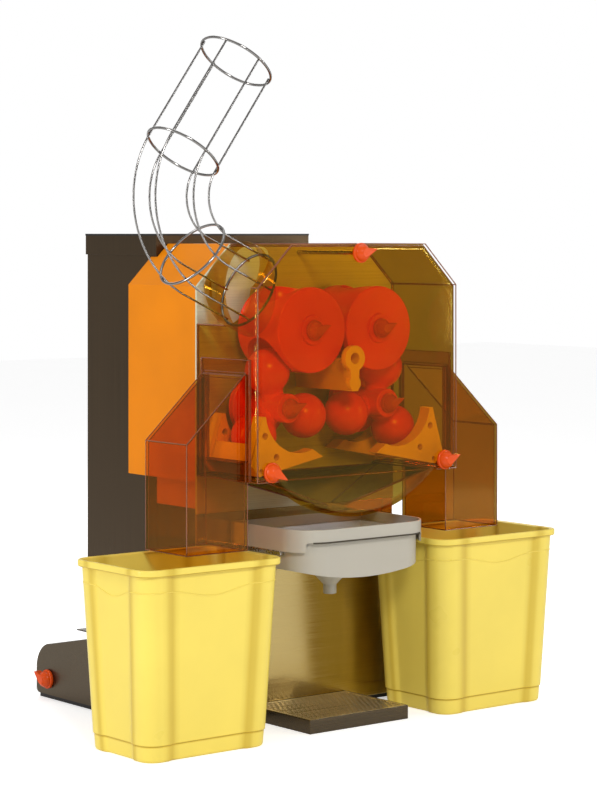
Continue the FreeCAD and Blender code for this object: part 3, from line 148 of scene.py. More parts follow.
class JuicerSizes(bpy.types.PropertyGroup):
    """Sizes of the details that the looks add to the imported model."""

    sheet_edge: length("Sheet edge", 0.0008, "Radius on the edges of the folded sheet steel")
    moulded_edge: length("Moulded edge", 0.0016, "Radius on the edges of the moulded plastic")
    housing_edge: length("Housing edge", 0.004, "Radius on the edges of the gear housing")
    cover_edge: length("Cover edge", 0.009, "Radius of the bend round the cover's front")
    cover_wall: length("Cover wall", 0.003, "Thickness of the clear cover")
    drum_edge: length("Drum edge", 0.0022, "Radius round the ends of the drums")
    ball_blend: length("Ball blend", 0.006, "Softness of the joint between a ball and its arm")
    wire_radius: length("Wire radius", 0.0015, "Radius of the feeder's wires")
    ring_radius: length("Ring radius", 0.002, "Radius of the feeder's rings")
    perforation_pitch: length("Perforation pitch", 0.0086, "Distance between holes in the grate")
    perforation_radius: length("Perforation radius", 0.003, "Radius of the holes in the grate")
    bead_radius: length("Bead radius", 0.0009, "Radius of the beads moulded on the bins")
    screw_radius: length("Screw radius", 0.0042, "Radius of the screw heads")
    lip_curve: length("Lip curve", 0.0055, "Radius of the double curves in the tray's lip")
    cap_line: length("Cap line", 0.0025, "Height of the black line along the cap's top edge")
    # Radius of the painted shadow line under the tray's front lip
    lip_shadow_line: length("Lip line", 0.0013, "Radius of the dark line under the tray's front lip")
    seam_radius: length("Seam radius", 0.0007, "Radius of the glued seams of the clear sheets")
    backdrop_dim: share_of("Backdrop dim", 0.26, "Share of the backdrop seen through clear sheet")
    round_steps: IntProperty(
        name="Round steps", description="Steps round a drum", default=96, min=24, max=192
    )


class JuicerColours(bpy.types.PropertyGroup):
    """Colours of the finishes."""

    base: colour("Base", (0.1, 0.077, 0.05), "Brushed sheet of the base")
    grate: colour("Grate", (0.66, 0.52, 0.28), "Perforated sheet of the drip tray")
    column: colour("Column", (0.065, 0.041, 0.019), "Dark bronze sheet of the column")
    splash: colour("Splash plate", (0.44, 0.33, 0.13), "Brushed sheet behind the juice outlet")
    plate: colour("Bearing plate", (0.56, 0.58, 0.42), "Brushed plate behind the drums")
    trim: colour("Trim", (0.012, 0.011, 0.01), "Black plastic and edging")
    housing: colour("Housing", (0.68, 0.2, 0.001), "Moulded gear housing")
    drums: colour("Drums", (0.98, 0.042, 0.005), "Moulded drums")
    knobs: colour("Knobs", (0.66, 0.07, 0.006), "Moulded wing knobs")
    guides: colour("Guides", (0.96, 0.6, 0.01), "Knife holder and peel ejectors")
    amber: colour("Amber", (0.95, 0.765, 0.24), "Tint of the cover")
    chutes: colour("Chutes", (0.96, 0.69, 0.24), "Tint of the peel chutes")
    funnel: colour("Funnel", (0.95, 0.84, 0.5), "Tint of the juice funnel")
    clear: colour("Clear", (0.94, 0.79, 0.47), "Tint of the feeder's sleeve")
    seams: colour("Seams", (0.2, 0.05, 0.008), "Edges and glued seams of the clear sheets")
    tray: colour("Juice tray", (0.41, 0.38, 0.315), "Moulded juice tray")
    # Painted shadow under the tray's front lip
    lip: colour("Tray lip's shade", (0.07, 0.06, 0.045), "Line under the tray's front lip")
    bins: colour("Bins", (0.78, 0.615, 0.11), "Moulded peel bins")
    # Painted shade: the bins' colour in their grooves, at the foot's seam and under the rim
    groove_shade: colour("Bin grooves", (0.46, 0.29, 0.012), "Bins in the grooves beside their bands")
    floor: colour("Floor", (0.96, 0.96, 0.96), "Ground under the juicer")


def colours():
    return bpy.context.scene.juicer_colours


# Node trees
class Board:
    """A node tree being wired: each node is added with its settings and inputs in one call."""

    def __init__(self, tree):
        self.tree = tree

    def add(self, kind, inputs=None, **settings):
        node = self.tree.nodes.new(kind)
        for key, value in settings.items():
            setattr(node, key, value)
        for key, value in (inputs or {}).items():
            self.feed(node, key, value)
        return node

    def out(self, kind, inputs=None, **settings):
        """Adds a node and gives its first output."""
        return self.add(kind, inputs, **settings).outputs[0]

    def feed(self, node, key, value):
        if isinstance(value, bpy.types.NodeSocket):
            self.tree.links.new(value, node.inputs[key])
        else:
            node.inputs[key].default_value = value

    def maths(self, operation, first, second):
        return self.out("ShaderNodeMath", {0: first, 1: second}, operation=operation)


def opaque(tint, share=1.0):
    """A colour's four values, scaled by a share and kept below white."""
    return tuple(min(value * share, 1.0) for value in tint) + (1.0,)


def new_material(name):
    material = bpy.data.materials.new(name)
    material.use_nodes = True
    material.node_tree.nodes.clear()
    return material, Board(material.node_tree)


def object_noise(board, scale, stretch=(1, 1, 1), detail=4.0, rough=0.5):
    """Noise in Object coordinates, stretched along some of the axes."""
    place = board.add("ShaderNodeTexCoord").outputs["Object"]
    spread = board.out("ShaderNodeMapping", {"Vector": place, "Scale": stretch})
    inputs = {"Vector": spread, "Scale": scale, "Detail": detail, "Roughness": rough}
    return board.out("ShaderNodeTexNoise", inputs)


def ranged(board, value, low, high, start=0.3, end=0.7):
    """A value carried from one range to another."""
    inputs = {"Value": value, "From Min": start, "From Max": end, "To Min": low, "To Max": high}
    return board.out("ShaderNodeMapRange", inputs)


def two_tints(board, factor, first, second):
    node = board.add("ShaderNodeMix", {0: factor}, data_type="RGBA")
    board.feed(node, 6, first)
    board.feed(node, 7, second)
    return node.outputs[2]


def relief(board, height, strength, depth):
    """Normals of a fine relief."""
    inputs = {"Strength": strength, "Distance": depth, "Height": height}
    return board.out("ShaderNodeBump", inputs)


def mixed(board, share, first, second):
    return board.out("ShaderNodeMixShader", {0: share, 1: first, 2: second})


def surface(board, shader):
    board.add("ShaderNodeOutputMaterial", {"Surface": shader})


def moulded(name, tint, rough, spread=0.07, glow=0.0, gloss=0.3):
    """Moulded plastic: slow drift of colour, fine grain and a soft gloss."""
    material, board = new_material(name)
    drift = object_noise(board, 9.0, detail=3.0)
    fine = object_noise(board, 700.0, detail=2.0)
    factor = ranged(board, drift, 0.0, 1.0)
    deep, light = opaque(tint, 1 - spread), opaque(tint, 1 + spread / 2)
    inputs = {
        "Base Color": two_tints(board, factor, deep, light),
        "Roughness": ranged(board, drift, rough * 0.8, rough * 1.25),
        "Normal": relief(board, fine, 0.06, 0.0004),
        "Specular IOR Level": gloss,
        "Subsurface Weight": glow,
        "Subsurface Radius": (1.0, 0.8, 0.5),
        "Subsurface Scale": 0.004,
    }
    surface(board, board.out("ShaderNodeBsdfPrincipled", inputs))
    return material


def moulded_with_painted_shade(name, tint, deep):
    """Moulded plastic with painted shade: a deeper tone where its own shade attribute is high."""
    material = moulded(name, tint, rough=0.34, spread=0.05, gloss=0.25)
    board = Board(material.node_tree)
    shader = next(n for n in board.tree.nodes if n.type == "BSDF_PRINCIPLED")
    light = shader.inputs["Base Color"].links[0].from_socket
    groove = board.add("ShaderNodeAttribute", attribute_name="groove").outputs["Fac"]
    board.feed(shader, "Base Color", two_tints(board, groove, light, opaque(deep)))
    return material


def brushed(name, tint, along, rough, bump=0.12, metal=1.0, spread=0.14):
    """Brushed sheet: long fine lines along one axis over slow clouds of gloss."""
    material, board = new_material(name)
    stretch = tuple(3.0 if axis == along else 900.0 for axis in "xyz")
    lines = object_noise(board, 1.0, stretch, detail=3.0, rough=0.65)
    clouds = object_noise(board, 5.0, detail=2.0)
    factor = ranged(board, lines, 0.0, 1.0)
    streaks = ranged(board, lines, rough - 0.06, rough + 0.06)
    inputs = {
        "Base Color": two_tints(board, factor, opaque(tint, 1 - spread), opaque(tint, 1 + spread)),
        "Metallic": metal,
        "Roughness": board.maths("ADD", streaks, ranged(board, clouds, -0.05, 0.05)),
        "Normal": relief(board, lines, bump, 0.0002),
    }
    surface(board, board.out("ShaderNodeBsdfPrincipled", inputs))
    return material


def plain_metal(name, tint, rough, scale=300.0, bump=0.04):
    """Turned, cast or plated metal with a faint grain and specks of duller gloss."""
    material, board = new_material(name)
    grain = object_noise(board, scale, detail=4.0)
    factor = ranged(board, grain, 0.0, 1.0)
    inputs = {
        "Base Color": two_tints(board, factor, opaque(tint, 0.9), opaque(tint, 1.05)),
        "Metallic": 1.0,
        "Roughness": ranged(board, grain, rough * 0.8, rough * 1.3),
        "Normal": relief(board, grain, bump, 0.0003),
    }
    surface(board, board.out("ShaderNodeBsdfPrincipled", inputs))
    return material


def tinted_clear(name, tint, shine):
    """Clear coloured sheet: what is behind shows through its tint, under a gloss at low angles."""
    material, board = new_material(name)
    factor = ranged(board, object_noise(board, 6.0, detail=2.0), 0.0, 1.0)
    tone = two_tints(board, factor, opaque(tint, 0.94), opaque(tint))
    through = board.out("ShaderNodeBsdfTransparent", {"Color": tone})
    gloss = board.out("ShaderNodeBsdfAnisotropic", {"Color": opaque(tint), "Roughness": 0.05})
    facing = board.add("ShaderNodeLayerWeight", {"Blend": 0.5}).outputs["Facing"]
    share = ranged(board, board.maths("POWER", facing, 4.0), 0.045, shine, 0.0, 1.0)
    surface(board, mixed(board, share, through, gloss))
    return material


def finish(name):
    """The material of that name, made the first time it is asked for."""
    known = bpy.data.materials.get(name)
    if known:
        return known
    pick = colours()
    makers = {
        "base_sheet": lambda n: brushed(n, pick.base, "x", rough=0.3),
        "grate_sheet": lambda n: brushed(n, pick.grate, "x", rough=0.32, bump=0.02, metal=0.8),
        "column_sheet": lambda n: brushed(n, pick.column, "z", rough=0.36, metal=0.85),
        "splash_sheet": lambda n: brushed(n, pick.splash, "x", rough=0.17, bump=0.02, spread=0.08),
        "plate_sheet": lambda n: brushed(n, pick.plate, "x", rough=0.36, bump=0.04, metal=0.2),
        "black_trim": lambda n: moulded(n, pick.trim, rough=0.4, spread=0.3),
        "housing_plastic": lambda n: moulded(n, pick.housing, rough=0.42, gloss=0.12),
        "drum_plastic": lambda n: moulded(n, pick.drums, rough=0.22),
        "knob_plastic": lambda n: moulded(n, pick.knobs, rough=0.24, gloss=0.2),
        "guide_plastic": lambda n: moulded(n, pick.guides, rough=0.3, gloss=0.2),
        "tray_plastic": lambda n: moulded(n, pick.tray, rough=0.36, spread=0.03, glow=0.1),
        "tray_shadow": lambda n: moulded(n, pick.lip, rough=0.6, spread=0.1, gloss=0.05),
        # Bins with painted shade in their grooves, at the foot's seam and under the rim
        "bin_plastic": lambda n: moulded_with_painted_shade(n, pick.bins, pick.groove_shade),
        "amber_sheet": lambda n: tinted_clear(n, pick.amber, shine=0.4),
        "chute_sheet": lambda n: tinted_clear(n, pick.chutes, shine=0.4),
        "funnel_sheet": lambda n: tinted_clear(n, pick.funnel, shine=0.15),
        "clear_sheet": lambda n: tinted_clear(n, pick.clear, shine=0.35),
        "seam_glue": lambda n: moulded(n, pick.seams, rough=0.12, spread=0.2, gloss=0.9),
        "wire_chrome": lambda n: plain_metal(n, (0.27, 0.26, 0.25), rough=0.14, scale=120.0),
        "turned_steel": lambda n: plain_metal(n, (0.55, 0.54, 0.52), rough=0.24),
        "blade_steel": lambda n: brushed(n, (0.7, 0.69, 0.67), "y", rough=0.16),
        "strainer_steel": lambda n: plain_metal(n, (0.62, 0.6, 0.57), rough=0.22),
        "cast_aluminium": lambda n: plain_metal(n, (0.6, 0.6, 0.61), rough=0.42, bump=0.35),
        "motor_iron": lambda n: plain_metal(n, (0.09, 0.1, 0.11), rough=0.45, bump=0.3),
        "bush_brass": lambda n: plain_metal(n, (0.72, 0.47, 0.16), rough=0.25),
        "gear_nylon": lambda n: moulded(n, (0.8, 0.78, 0.72), rough=0.4, glow=0.2),
    }
    return makers[name](name)


# Mesh helpers
def linked(name, data):
    """A new object with that data, in the scene."""
    piece = bpy.data.objects.new(name, data)
    bpy.context.scene.collection.objects.link(piece)
    return piece


def keep_mesh(piece):
    """Turns what the piece's modifiers make into its own plain mesh."""
    bpy.context.view_layer.update()
    graph = bpy.context.evaluated_depsgraph_get()
    mesh = bpy.data.meshes.new_from_object(
        piece.evaluated_get(graph), preserve_all_data_layers=True, depsgraph=graph
    )
    if piece.type == "MESH":
        piece.modifiers.clear()
        piece.data = mesh
        return piece
    name = piece.name
    solid = linked(f"{name}_solid", mesh)
    bpy.data.objects.remove(piece)
    solid.name = name
    return solid


def to_object(name, bm, finish_name=None):
    mesh = bpy.data.meshes.new(name)
    bm.to_mesh(mesh)
    bm.free()
    if finish_name:
        mesh.materials.append(finish(finish_name))
    return linked(name, mesh)


def shade(piece, angle=35.0):
    """Smooth faces, with a crease wherever the surface turns by more than an angle."""
    bm = bmesh.new()
    bm.from_mesh(piece.data)
    limit = math.radians(angle)
    for face in bm.faces:
        face.smooth = True
    for edge in bm.edges:
        edge.smooth = len(edge.link_faces) == 2 and edge.calc_face_angle(0.0) < limit
    bm.to_mesh(piece.data)
    bm.free()
    return piece


def flattened(piece, angle):
    """Smooth shading whose large flat faces stay truly flat."""
    shade(piece, angle)
    flat = piece.modifiers.new("Flatten", "WEIGHTED_NORMAL")
    flat.keep_sharp = True
    return keep_mesh(piece)


def rounded(piece, radius):
    """Rounds the piece's sharp edges, and keeps its flat faces flat."""
    sharp, steps = 32.0, 2
    shade(piece, sharp)
    bevel = piece.modifiers.new("Round", "BEVEL")
    bevel.width, bevel.segments = radius, steps
    bevel.limit_method, bevel.angle_limit = "ANGLE", math.radians(sharp)
    bevel.miter_outer = "MITER_ARC"
    return flattened(keep_mesh(piece), angle=50)


def attach(piece, body, *nodes, slot=None):
    """The piece rides on a body and stands for its nodes, which it hides; its slot is not used."""
    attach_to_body(piece, body)
    if nodes:
        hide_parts(*nodes)


def body_of(node):
    return frame["nodes"][node]["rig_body"]


def merged(node):
    """A node's mesh with its triangles joined into whole faces."""
    bm = bmesh.new()
    bm.from_mesh(frame["nodes"][node].data)
    bmesh.ops.remove_doubles(bm, verts=bm.verts, dist=TINY)
    bmesh.ops.dissolve_limit(bm, angle_limit=FLAT_WITHIN, verts=bm.verts, edges=bm.edges)
    return bm


def merged_copy(node, finish_name):
    return to_object(f"{node}_dressed", merged(node), finish_name)


def dressed(node, finish_name, radius):
    """A node again, with its sharp edges rounded as a folded or moulded edge is."""
    attach(rounded(merged_copy(node, finish_name), radius), body_of(node), node)


def seams(node, radius, finish_name="seam_glue", shortest=0.012, angle=30.0, keep=None):
    """Thin lines along a node's long sharp edges, or along those that pass a test."""
    bm = merged(node)
    paths = []
    for edge in bm.edges:
        ends = [vertex.co.copy() for vertex in edge.verts]
        sharp = abs(edge.calc_face_angle_signed(0.0)) > math.radians(angle)
        if sharp and edge.calc_length() > shortest and (keep is None or keep(*ends)):
            paths.append((ends, False))
    bm.free()
    piece = swept(f"{node}_seams", paths, radius, 6, finish_name)
    attach(piece, body_of(node), slot=SLOT_OF[node])


def painted(finish_name, *nodes):
    """Puts a finish on nodes whose own shape is right."""
    for node in nodes:
        slots = frame["nodes"][node].data.materials
        slots.clear()
        slots.append(finish(finish_name))


def carve(piece, *cutters, operation="DIFFERENCE"):
    """Cuts, or joins, other shapes out of or to the piece, and removes them."""
    for cutter in cutters:
        step = piece.modifiers.new("Carve", "BOOLEAN")
        step.operation, step.solver, step.object = operation, "EXACT", cutter
        keep_mesh(piece)
        bpy.data.objects.remove(cutter)
    return piece


def frame_to(point, along):
    """Turns +Z to a direction and moves the origin to a point."""
    turn = Vector((0, 0, 1)).rotation_difference(Vector(along)).to_matrix().to_4x4()
    return Matrix.Translation(Vector(point)) @ turn


def turns_round(steps):
    return [2 * math.pi * index / steps for index in range(steps)]


def lathe(profile, point, along, steps):
    """Closed solid turned about an axis: profile is (radius, height) from one end to the other."""
    bm = bmesh.new()
    rings = []
    for radius, height in profile:
        if radius < TINY:
            rings.append([bm.verts.new((0, 0, height))])
            continue
        places = [(radius * math.cos(t), radius * math.sin(t), height) for t in turns_round(steps)]
        rings.append([bm.verts.new(place) for place in places])
    closed = len(rings[0]) > 1 and len(rings[-1]) > 1
    pairs = list(zip(rings, rings[1:])) + ([(rings[-1], rings[0])] if closed else [])
    for first, second in pairs:
        for index in range(steps):
            after = (index + 1) % steps
            corners = [
                first[index % len(first)],
                first[after % len(first)],
                second[after % len(second)],
                second[index % len(second)],
            ]
            unique = list(dict.fromkeys(corners))
            if len(unique) > 2:
                bm.faces.new(unique)
    bmesh.ops.recalc_face_normals(bm, faces=bm.faces)
    bmesh.ops.transform(bm, matrix=frame_to(point, along), verts=bm.verts)
    return bm


def arc_points(centre, radius, start, end, steps):
    """Points round a corner of a profile, from one turn to another, in degrees."""
    points = []
    for step in range(steps + 1):
        turn = math.radians(start + (end - start) * step / steps)
        points.append((centre[0] + radius * math.cos(turn), centre[1] + radius * math.sin(turn)))
    return points


def stacked(rings, low_cap=True, high_cap=True):
    """Skin over rings of points with the same count, with a flat face at either end."""
    bm = bmesh.new()
    loops = [[bm.verts.new(point) for point in ring] for ring in rings]
    for first, second in zip(loops, loops[1:]):
        for index in range(len(first)):
            after = (index + 1) % len(first)
            bm.faces.new([first[index], first[after], second[after], second[index]])
    if low_cap:
        bm.faces.new(loops[0][::-1])
    if high_cap:
        bm.faces.new(loops[-1])
    bmesh.ops.recalc_face_normals(bm, faces=bm.faces)
    return bm


def crate(low, high):
    """A plain box used as a cutter."""
    bm = bmesh.new()
    bmesh.ops.create_cube(bm, size=1.0)
    for vert in bm.verts:
        vert.co = Vector(
            low[axis] + (vert.co[axis] + 0.5) * (high[axis] - low[axis]) for axis in range(3)
        )
    return to_object("cutter", bm)


def pin(point, along, radius, reach, steps=48):
    """A plain cylinder, to cut with or to join."""
    profile = [(0, 0), (radius, 0), (radius, reach), (0, reach)]
    return to_object("cutter", lathe(profile, point, along, steps))


# Geometry Nodes trees
def new_tree(name, fields):
    """A geometry tree with named inputs; returns it with its board and its input's outputs."""
    tree = bpy.data.node_groups.new(name, "GeometryNodeTree")
    tree.interface.new_socket("Geometry", in_out="INPUT", socket_type="NodeSocketGeometry")
    for label, kind in fields:
        tree.interface.new_socket(label, in_out="INPUT", socket_type=f"NodeSocket{kind}")
    tree.interface.new_socket("Geometry", in_out="OUTPUT", socket_type="NodeSocketGeometry")
    board = Board(tree)
    return tree, board, board.add("NodeGroupInput").outputs


def close_tree(board, geometry, material):
    """Ends a tree in plain geometry with its material."""
    real = board.out("GeometryNodeRealizeInstances", {"Geometry": geometry})
    smooth = board.out("GeometryNodeSetShadeSmooth", {"Geometry": real})
    inputs = {"Geometry": smooth, "Material": material}
    board.add("NodeGroupOutput", {0: board.out("GeometryNodeSetMaterial", inputs)})


def run_tree(piece, tree, values):
    """Runs a tree on the piece with its named inputs, and keeps the plain mesh."""
    modifier = piece.modifiers.new(tree.name, "NODES")
    modifier.node_group = tree
    for item in tree.interface.items_tree:
        if item.in_out == "INPUT" and item.name in values:
            modifier[item.identifier] = values[item.name]
    return keep_mesh(piece)


def sweep_tree():
    """Round bar along every curve."""
    known = bpy.data.node_groups.get("Round bar")
    if known:
        return known
    fields = (("Radius", "Float"), ("Sides", "Int"), ("Material", "Material"))
    tree, board, given = new_tree("Round bar", fields)
    inputs = {"Radius": given["Radius"], "Resolution": given["Sides"]}
    section = board.out("GeometryNodeCurvePrimitiveCircle", inputs)
    inputs = {"Curve": given["Geometry"], "Profile Curve": section, "Fill Caps": True}
    close_tree(board, board.out("GeometryNodeCurveToMesh", inputs), given["Material"])
    return tree


def swept(name, paths, radius, sides, finish_name):
    """Round bars along paths; each path is (points, closed)."""
    curve = bpy.data.curves.new(name, "CURVE")
    curve.dimensions = "3D"
    for points, closed in paths:
        spline = curve.splines.new("POLY")
        spline.points.add(len(points) - 1)
        for target, point in zip(spline.points, points):
            target.co = (*point, 1.0)
        spline.use_cyclic_u = closed
    piece = linked(name, curve)
    values = {"Radius": radius, "Sides": sides, "Material": finish(finish_name)}
    return run_tree(piece, sweep_tree(), values)


def scatter_tree():
    """A copy of one object on every point, turned so that its +Z follows the point's way attribute.
    """
    known = bpy.data.node_groups.get("Copies on points")
    if known:
        return known
    fields = (("Copy", "Object"), ("Size", "Float"), ("Material", "Material"))
    tree, board, given = new_tree("Copies on points", fields)
    one = board.add("GeometryNodeObjectInfo", {"Object": given["Copy"]}).outputs["Geometry"]
    way = board.out("GeometryNodeInputNamedAttribute", {"Name": "way"}, data_type="FLOAT_VECTOR")
    turn = board.out("FunctionNodeAlignRotationToVector", {"Vector": way}, axis="Z")
    inputs = {
        "Points": given["Geometry"],
        "Instance": one,
        "Rotation": turn,
        "Scale": given["Size"],
    }
    copies = board.out("GeometryNodeInstanceOnPoints", inputs)
    close_tree(board, copies, given["Material"])
    return tree


def scattered(name, original, places, size, finish_name):
    """Copies of an object at (point, direction) places, as one mesh; the original is removed."""
    mesh = bpy.data.meshes.new(name)
    mesh.from_pydata([tuple(point) for point, _ in places], [], [])
    ways = mesh.attributes.new("way", "FLOAT_VECTOR", "POINT")
    for item, (_, way) in zip(ways.data, places):
        item.vector = way
    piece = linked(name, mesh)
    values = {"Copy": original, "Size": size, "Material": finish(finish_name)}
    run_tree(piece, scatter_tree(), values)
    bpy.data.objects.remove(original)
    return piece


def perforated_tree():
    """Sheet of six-sided cells, each with a hole, over a grid of points with a staggered row."""
    fields = (
        ("Cell", "Object"),
        ("Columns", "Int"),
        ("Rows", "Int"),
        ("Pitch", "Float"),
        ("Thickness", "Float"),
        ("Corner", "Vector"),
        ("Material", "Material"),
    )
    tree, board, given = new_tree("Perforated sheet", fields)
    columns, pitch = given["Columns"], given["Pitch"]
    count = board.maths("MULTIPLY", columns, given["Rows"])
    points = board.out("GeometryNodePoints", {"Count": count})
    index = board.out("GeometryNodeInputIndex")
    row = board.maths("FLOOR", board.maths("DIVIDE", index, columns), 0.0)
    column = board.maths("SUBTRACT", index, board.maths("MULTIPLY", row, columns))
    shift = board.maths("MULTIPLY", board.maths("MODULO", row, 2.0), 0.5)
    x = board.maths("MULTIPLY", board.maths("ADD", column, shift), pitch)
    y = board.maths("MULTIPLY", row, board.maths("MULTIPLY", pitch, ROW_SHARE))
    place = board.out("ShaderNodeCombineXYZ", {"X": x, "Y": y})
    spot = board.out("ShaderNodeVectorMath", {0: place, 1: given["Corner"]}, operation="ADD")
    laid = board.out("GeometryNodeSetPosition", {"Geometry": points, "Position": spot})
    cell = board.add("GeometryNodeObjectInfo", {"Object": given["Cell"]}).outputs["Geometry"]
    inputs = {"Points": laid, "Instance": cell, "Scale": pitch}
    copies = board.out("GeometryNodeInstanceOnPoints", inputs)
    real = board.out("GeometryNodeRealizeInstances", {"Geometry": copies})
    sheet = board.out("GeometryNodeMergeByDistance", {"Geometry": real, "Distance": TINY})
    inputs = {
        "Mesh": sheet,
        "Offset": UP,
        "Offset Scale": given["Thickness"],
        "Individual": False,
    }
    raised = board.out("GeometryNodeExtrudeMesh", inputs)
    under = board.out("GeometryNodeFlipFaces", {"Mesh": sheet})
    both = board.add("GeometryNodeJoinGeometry", {0: under})
    board.feed(both, 0, raised)
    inputs = {"Geometry": both.outputs[0], "Distance": TINY}
    close_tree(board, board.out("GeometryNodeMergeByDistance", inputs), given["Material"])
    return tree


def hole_cell(hole_share):
    """One flat six-sided cell a unit across with a round hole, for the perforated sheet."""
    bm = bmesh.new()
    sides = 6
    outer = arc_points((0, 0), 1 / math.sqrt(3), 30, 330, sides - 1)
    inner = arc_points((0, 0), hole_share, 30, 360, sides * 2 - 1)
    rim = [bm.verts.new((x, y, 0)) for x, y in outer]
    hole = [bm.verts.new((x, y, 0)) for x, y in inner]
    for side in range(sides):
        after = (side + 1) % sides
        round_hole = [hole[(side * 2 + step) % (sides * 2)] for step in (2, 1, 0)]
        bm.faces.new([rim[side], rim[after], *round_hole])
    bmesh.ops.recalc_face_normals(bm, faces=bm.faces)
    if bm.faces[:][0].normal.z < 0:
        bmesh.ops.reverse_faces(bm, faces=bm.faces)
    return to_object("cell", bm)


def pan_head():
    """One screw head a unit in radius: a low dome with a cross in it."""
    arm, half_wide, floor, clear = 0.55, 0.08, 0.12, 0.6
    profile = [(0, -0.3), (1.0, -0.3), (1.0, 0.0), (0.94, 0.16), (0.7, 0.3), (0, 0.36)]
    head = to_object("head", lathe(profile, (0, 0, 0), UP, 16))
    halves = ((arm, half_wide), (half_wide, arm))
    return carve(head, *[crate((-x, -y, floor), (x, y, clear)) for x, y in halves])


def square_band(name, box, outs, heights, finish_name):
    """Closed band round a box: outs are how far out of it the band's inner and outer sides are."""
    low, high = box

    def rectangle(out, z):
        left, right, front, back = low.x - out, high.x + out, low.y - out, high.y + out
        return [(left, front, z), (right, front, z), (right, back, z), (left, back, z)]

    (inner, outer), (bottom, top) = outs, heights
    rings = [rectangle(inner, bottom), rectangle(outer, bottom)]
    rings += [rectangle(outer, top), rectangle(inner, top)]
    bm = stacked(rings + [rings[0]], low_cap=False, high_cap=False)
    bmesh.ops.remove_doubles(bm, verts=bm.verts, dist=TINY)
    bmesh.ops.recalc_face_normals(bm, faces=bm.faces)
    return to_object(name, bm, finish_name)


def bore_of(shaft):
    """Radius of a bore that just clears a shaft."""
    return (level(shaft, 0, 1) - level(shaft, 0, 0)) / 2 + TINY * 5


# Pieces
class JuicerOperator:
    """What every piece's operator shares."""

    bl_options = {"REGISTER", "UNDO"}

    def execute(self, context):
        self.build(context.scene.juicer_sizes)
        return {"FINISHED"}


class JUICER_OT_bodywork(JuicerOperator, bpy.types.Operator):
    """Base, column, pedestal, splash plate and cap, with the screws on the rear"""

    bl_idname = "juicer.bodywork"
    bl_label = "Bodywork"

    def build(self, size):
        edge = size.sheet_edge
        dressed("base_shell", "base_sheet", edge * 2)
        dressed("base_plinth", "black_trim", edge)
        dressed("deck_plates", "base_sheet", edge)
        dressed("column_shell", "column_sheet", edge * 2)
        dressed("pedestal_shell", "column_sheet", edge * 2)
        dressed("splash_plate", "splash_sheet", edge)
        dressed("column_cap", "column_sheet", edge * 2)
        painted("column_sheet", "rear_panel")
        self.cap_edge(size)
        self.rear_screws(size)

    def cap_edge(self, size):
        """Thin black edging that covers the top edge of the cap."""
        proud, inset = 0.0004, 0.004
        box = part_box("column_cap")
        heights = (box[1].z - size.cap_line, box[1].z + proud)
        piece = square_band("cap_edging", box, (-inset, proud), heights, "black_trim")
        attach(shade(piece), "frame", slot="black_plastic")

    def rear_screws(self, size):
        """Two upright rows of screws, with the same margin above and below."""
        low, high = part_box("rear_panel")
        count, radius = 5, size.screw_radius
        x, margin, head = high.x - radius * 2.5, radius * 3, radius * 0.6
        run = high.z - low.z - margin * 2
        heights = [low.z + margin + run * n / (count - 1) for n in range(count)]
        places = [((side * x, high.y, z), REARWARDS) for _, side in SIDES for z in heights]
        piece = scattered("rear_panel_screws", pan_head(), places, head, "turned_steel")
        attach(shade(piece), "frame", slot="shaft_steel")


class JUICER_OT_gear_case(JuicerOperator, bpy.types.Operator):
    """Gear housing, bearing plates, bushes, shafts and gears"""

    bl_idname = "juicer.gear_case"
    bl_label = "Gear case"

    def build(self, size):
        dressed("gear_housing", "housing_plastic", size.housing_edge * 0.3)
        dressed("bearing_plate", "plate_sheet", size.sheet_edge)
        painted("plate_sheet", "rear_bearing_plate")
        painted("turned_steel", "plate_spacers")
        painted("bush_brass", "front_bushes", "rear_bushes")
        for side, _ in SIDES:
            painted("turned_steel", f"{side}_upper_shaft", f"{side}_lower_shaft")
            painted("gear_nylon", f"{side}_upper_gear", f"{side}_lower_gear")
        painted("turned_steel", "drive_pinion")


class JUICER_OT_drive(JuicerOperator, bpy.types.Operator):
    """Gearbox, motor, control box, mains inlet and its switch"""

    bl_idname = "juicer.drive"
    bl_label = "Drive"

    def build(self, size):
        dressed("reduction_gearbox", "cast_aluminium", size.moulded_edge)
        painted("motor_iron", "drive_motor")
        dressed("control_box", "black_trim", size.moulded_edge)
        dressed("mains_inlet", "black_trim", size.sheet_edge)
        painted("black_trim", "mains_switch")


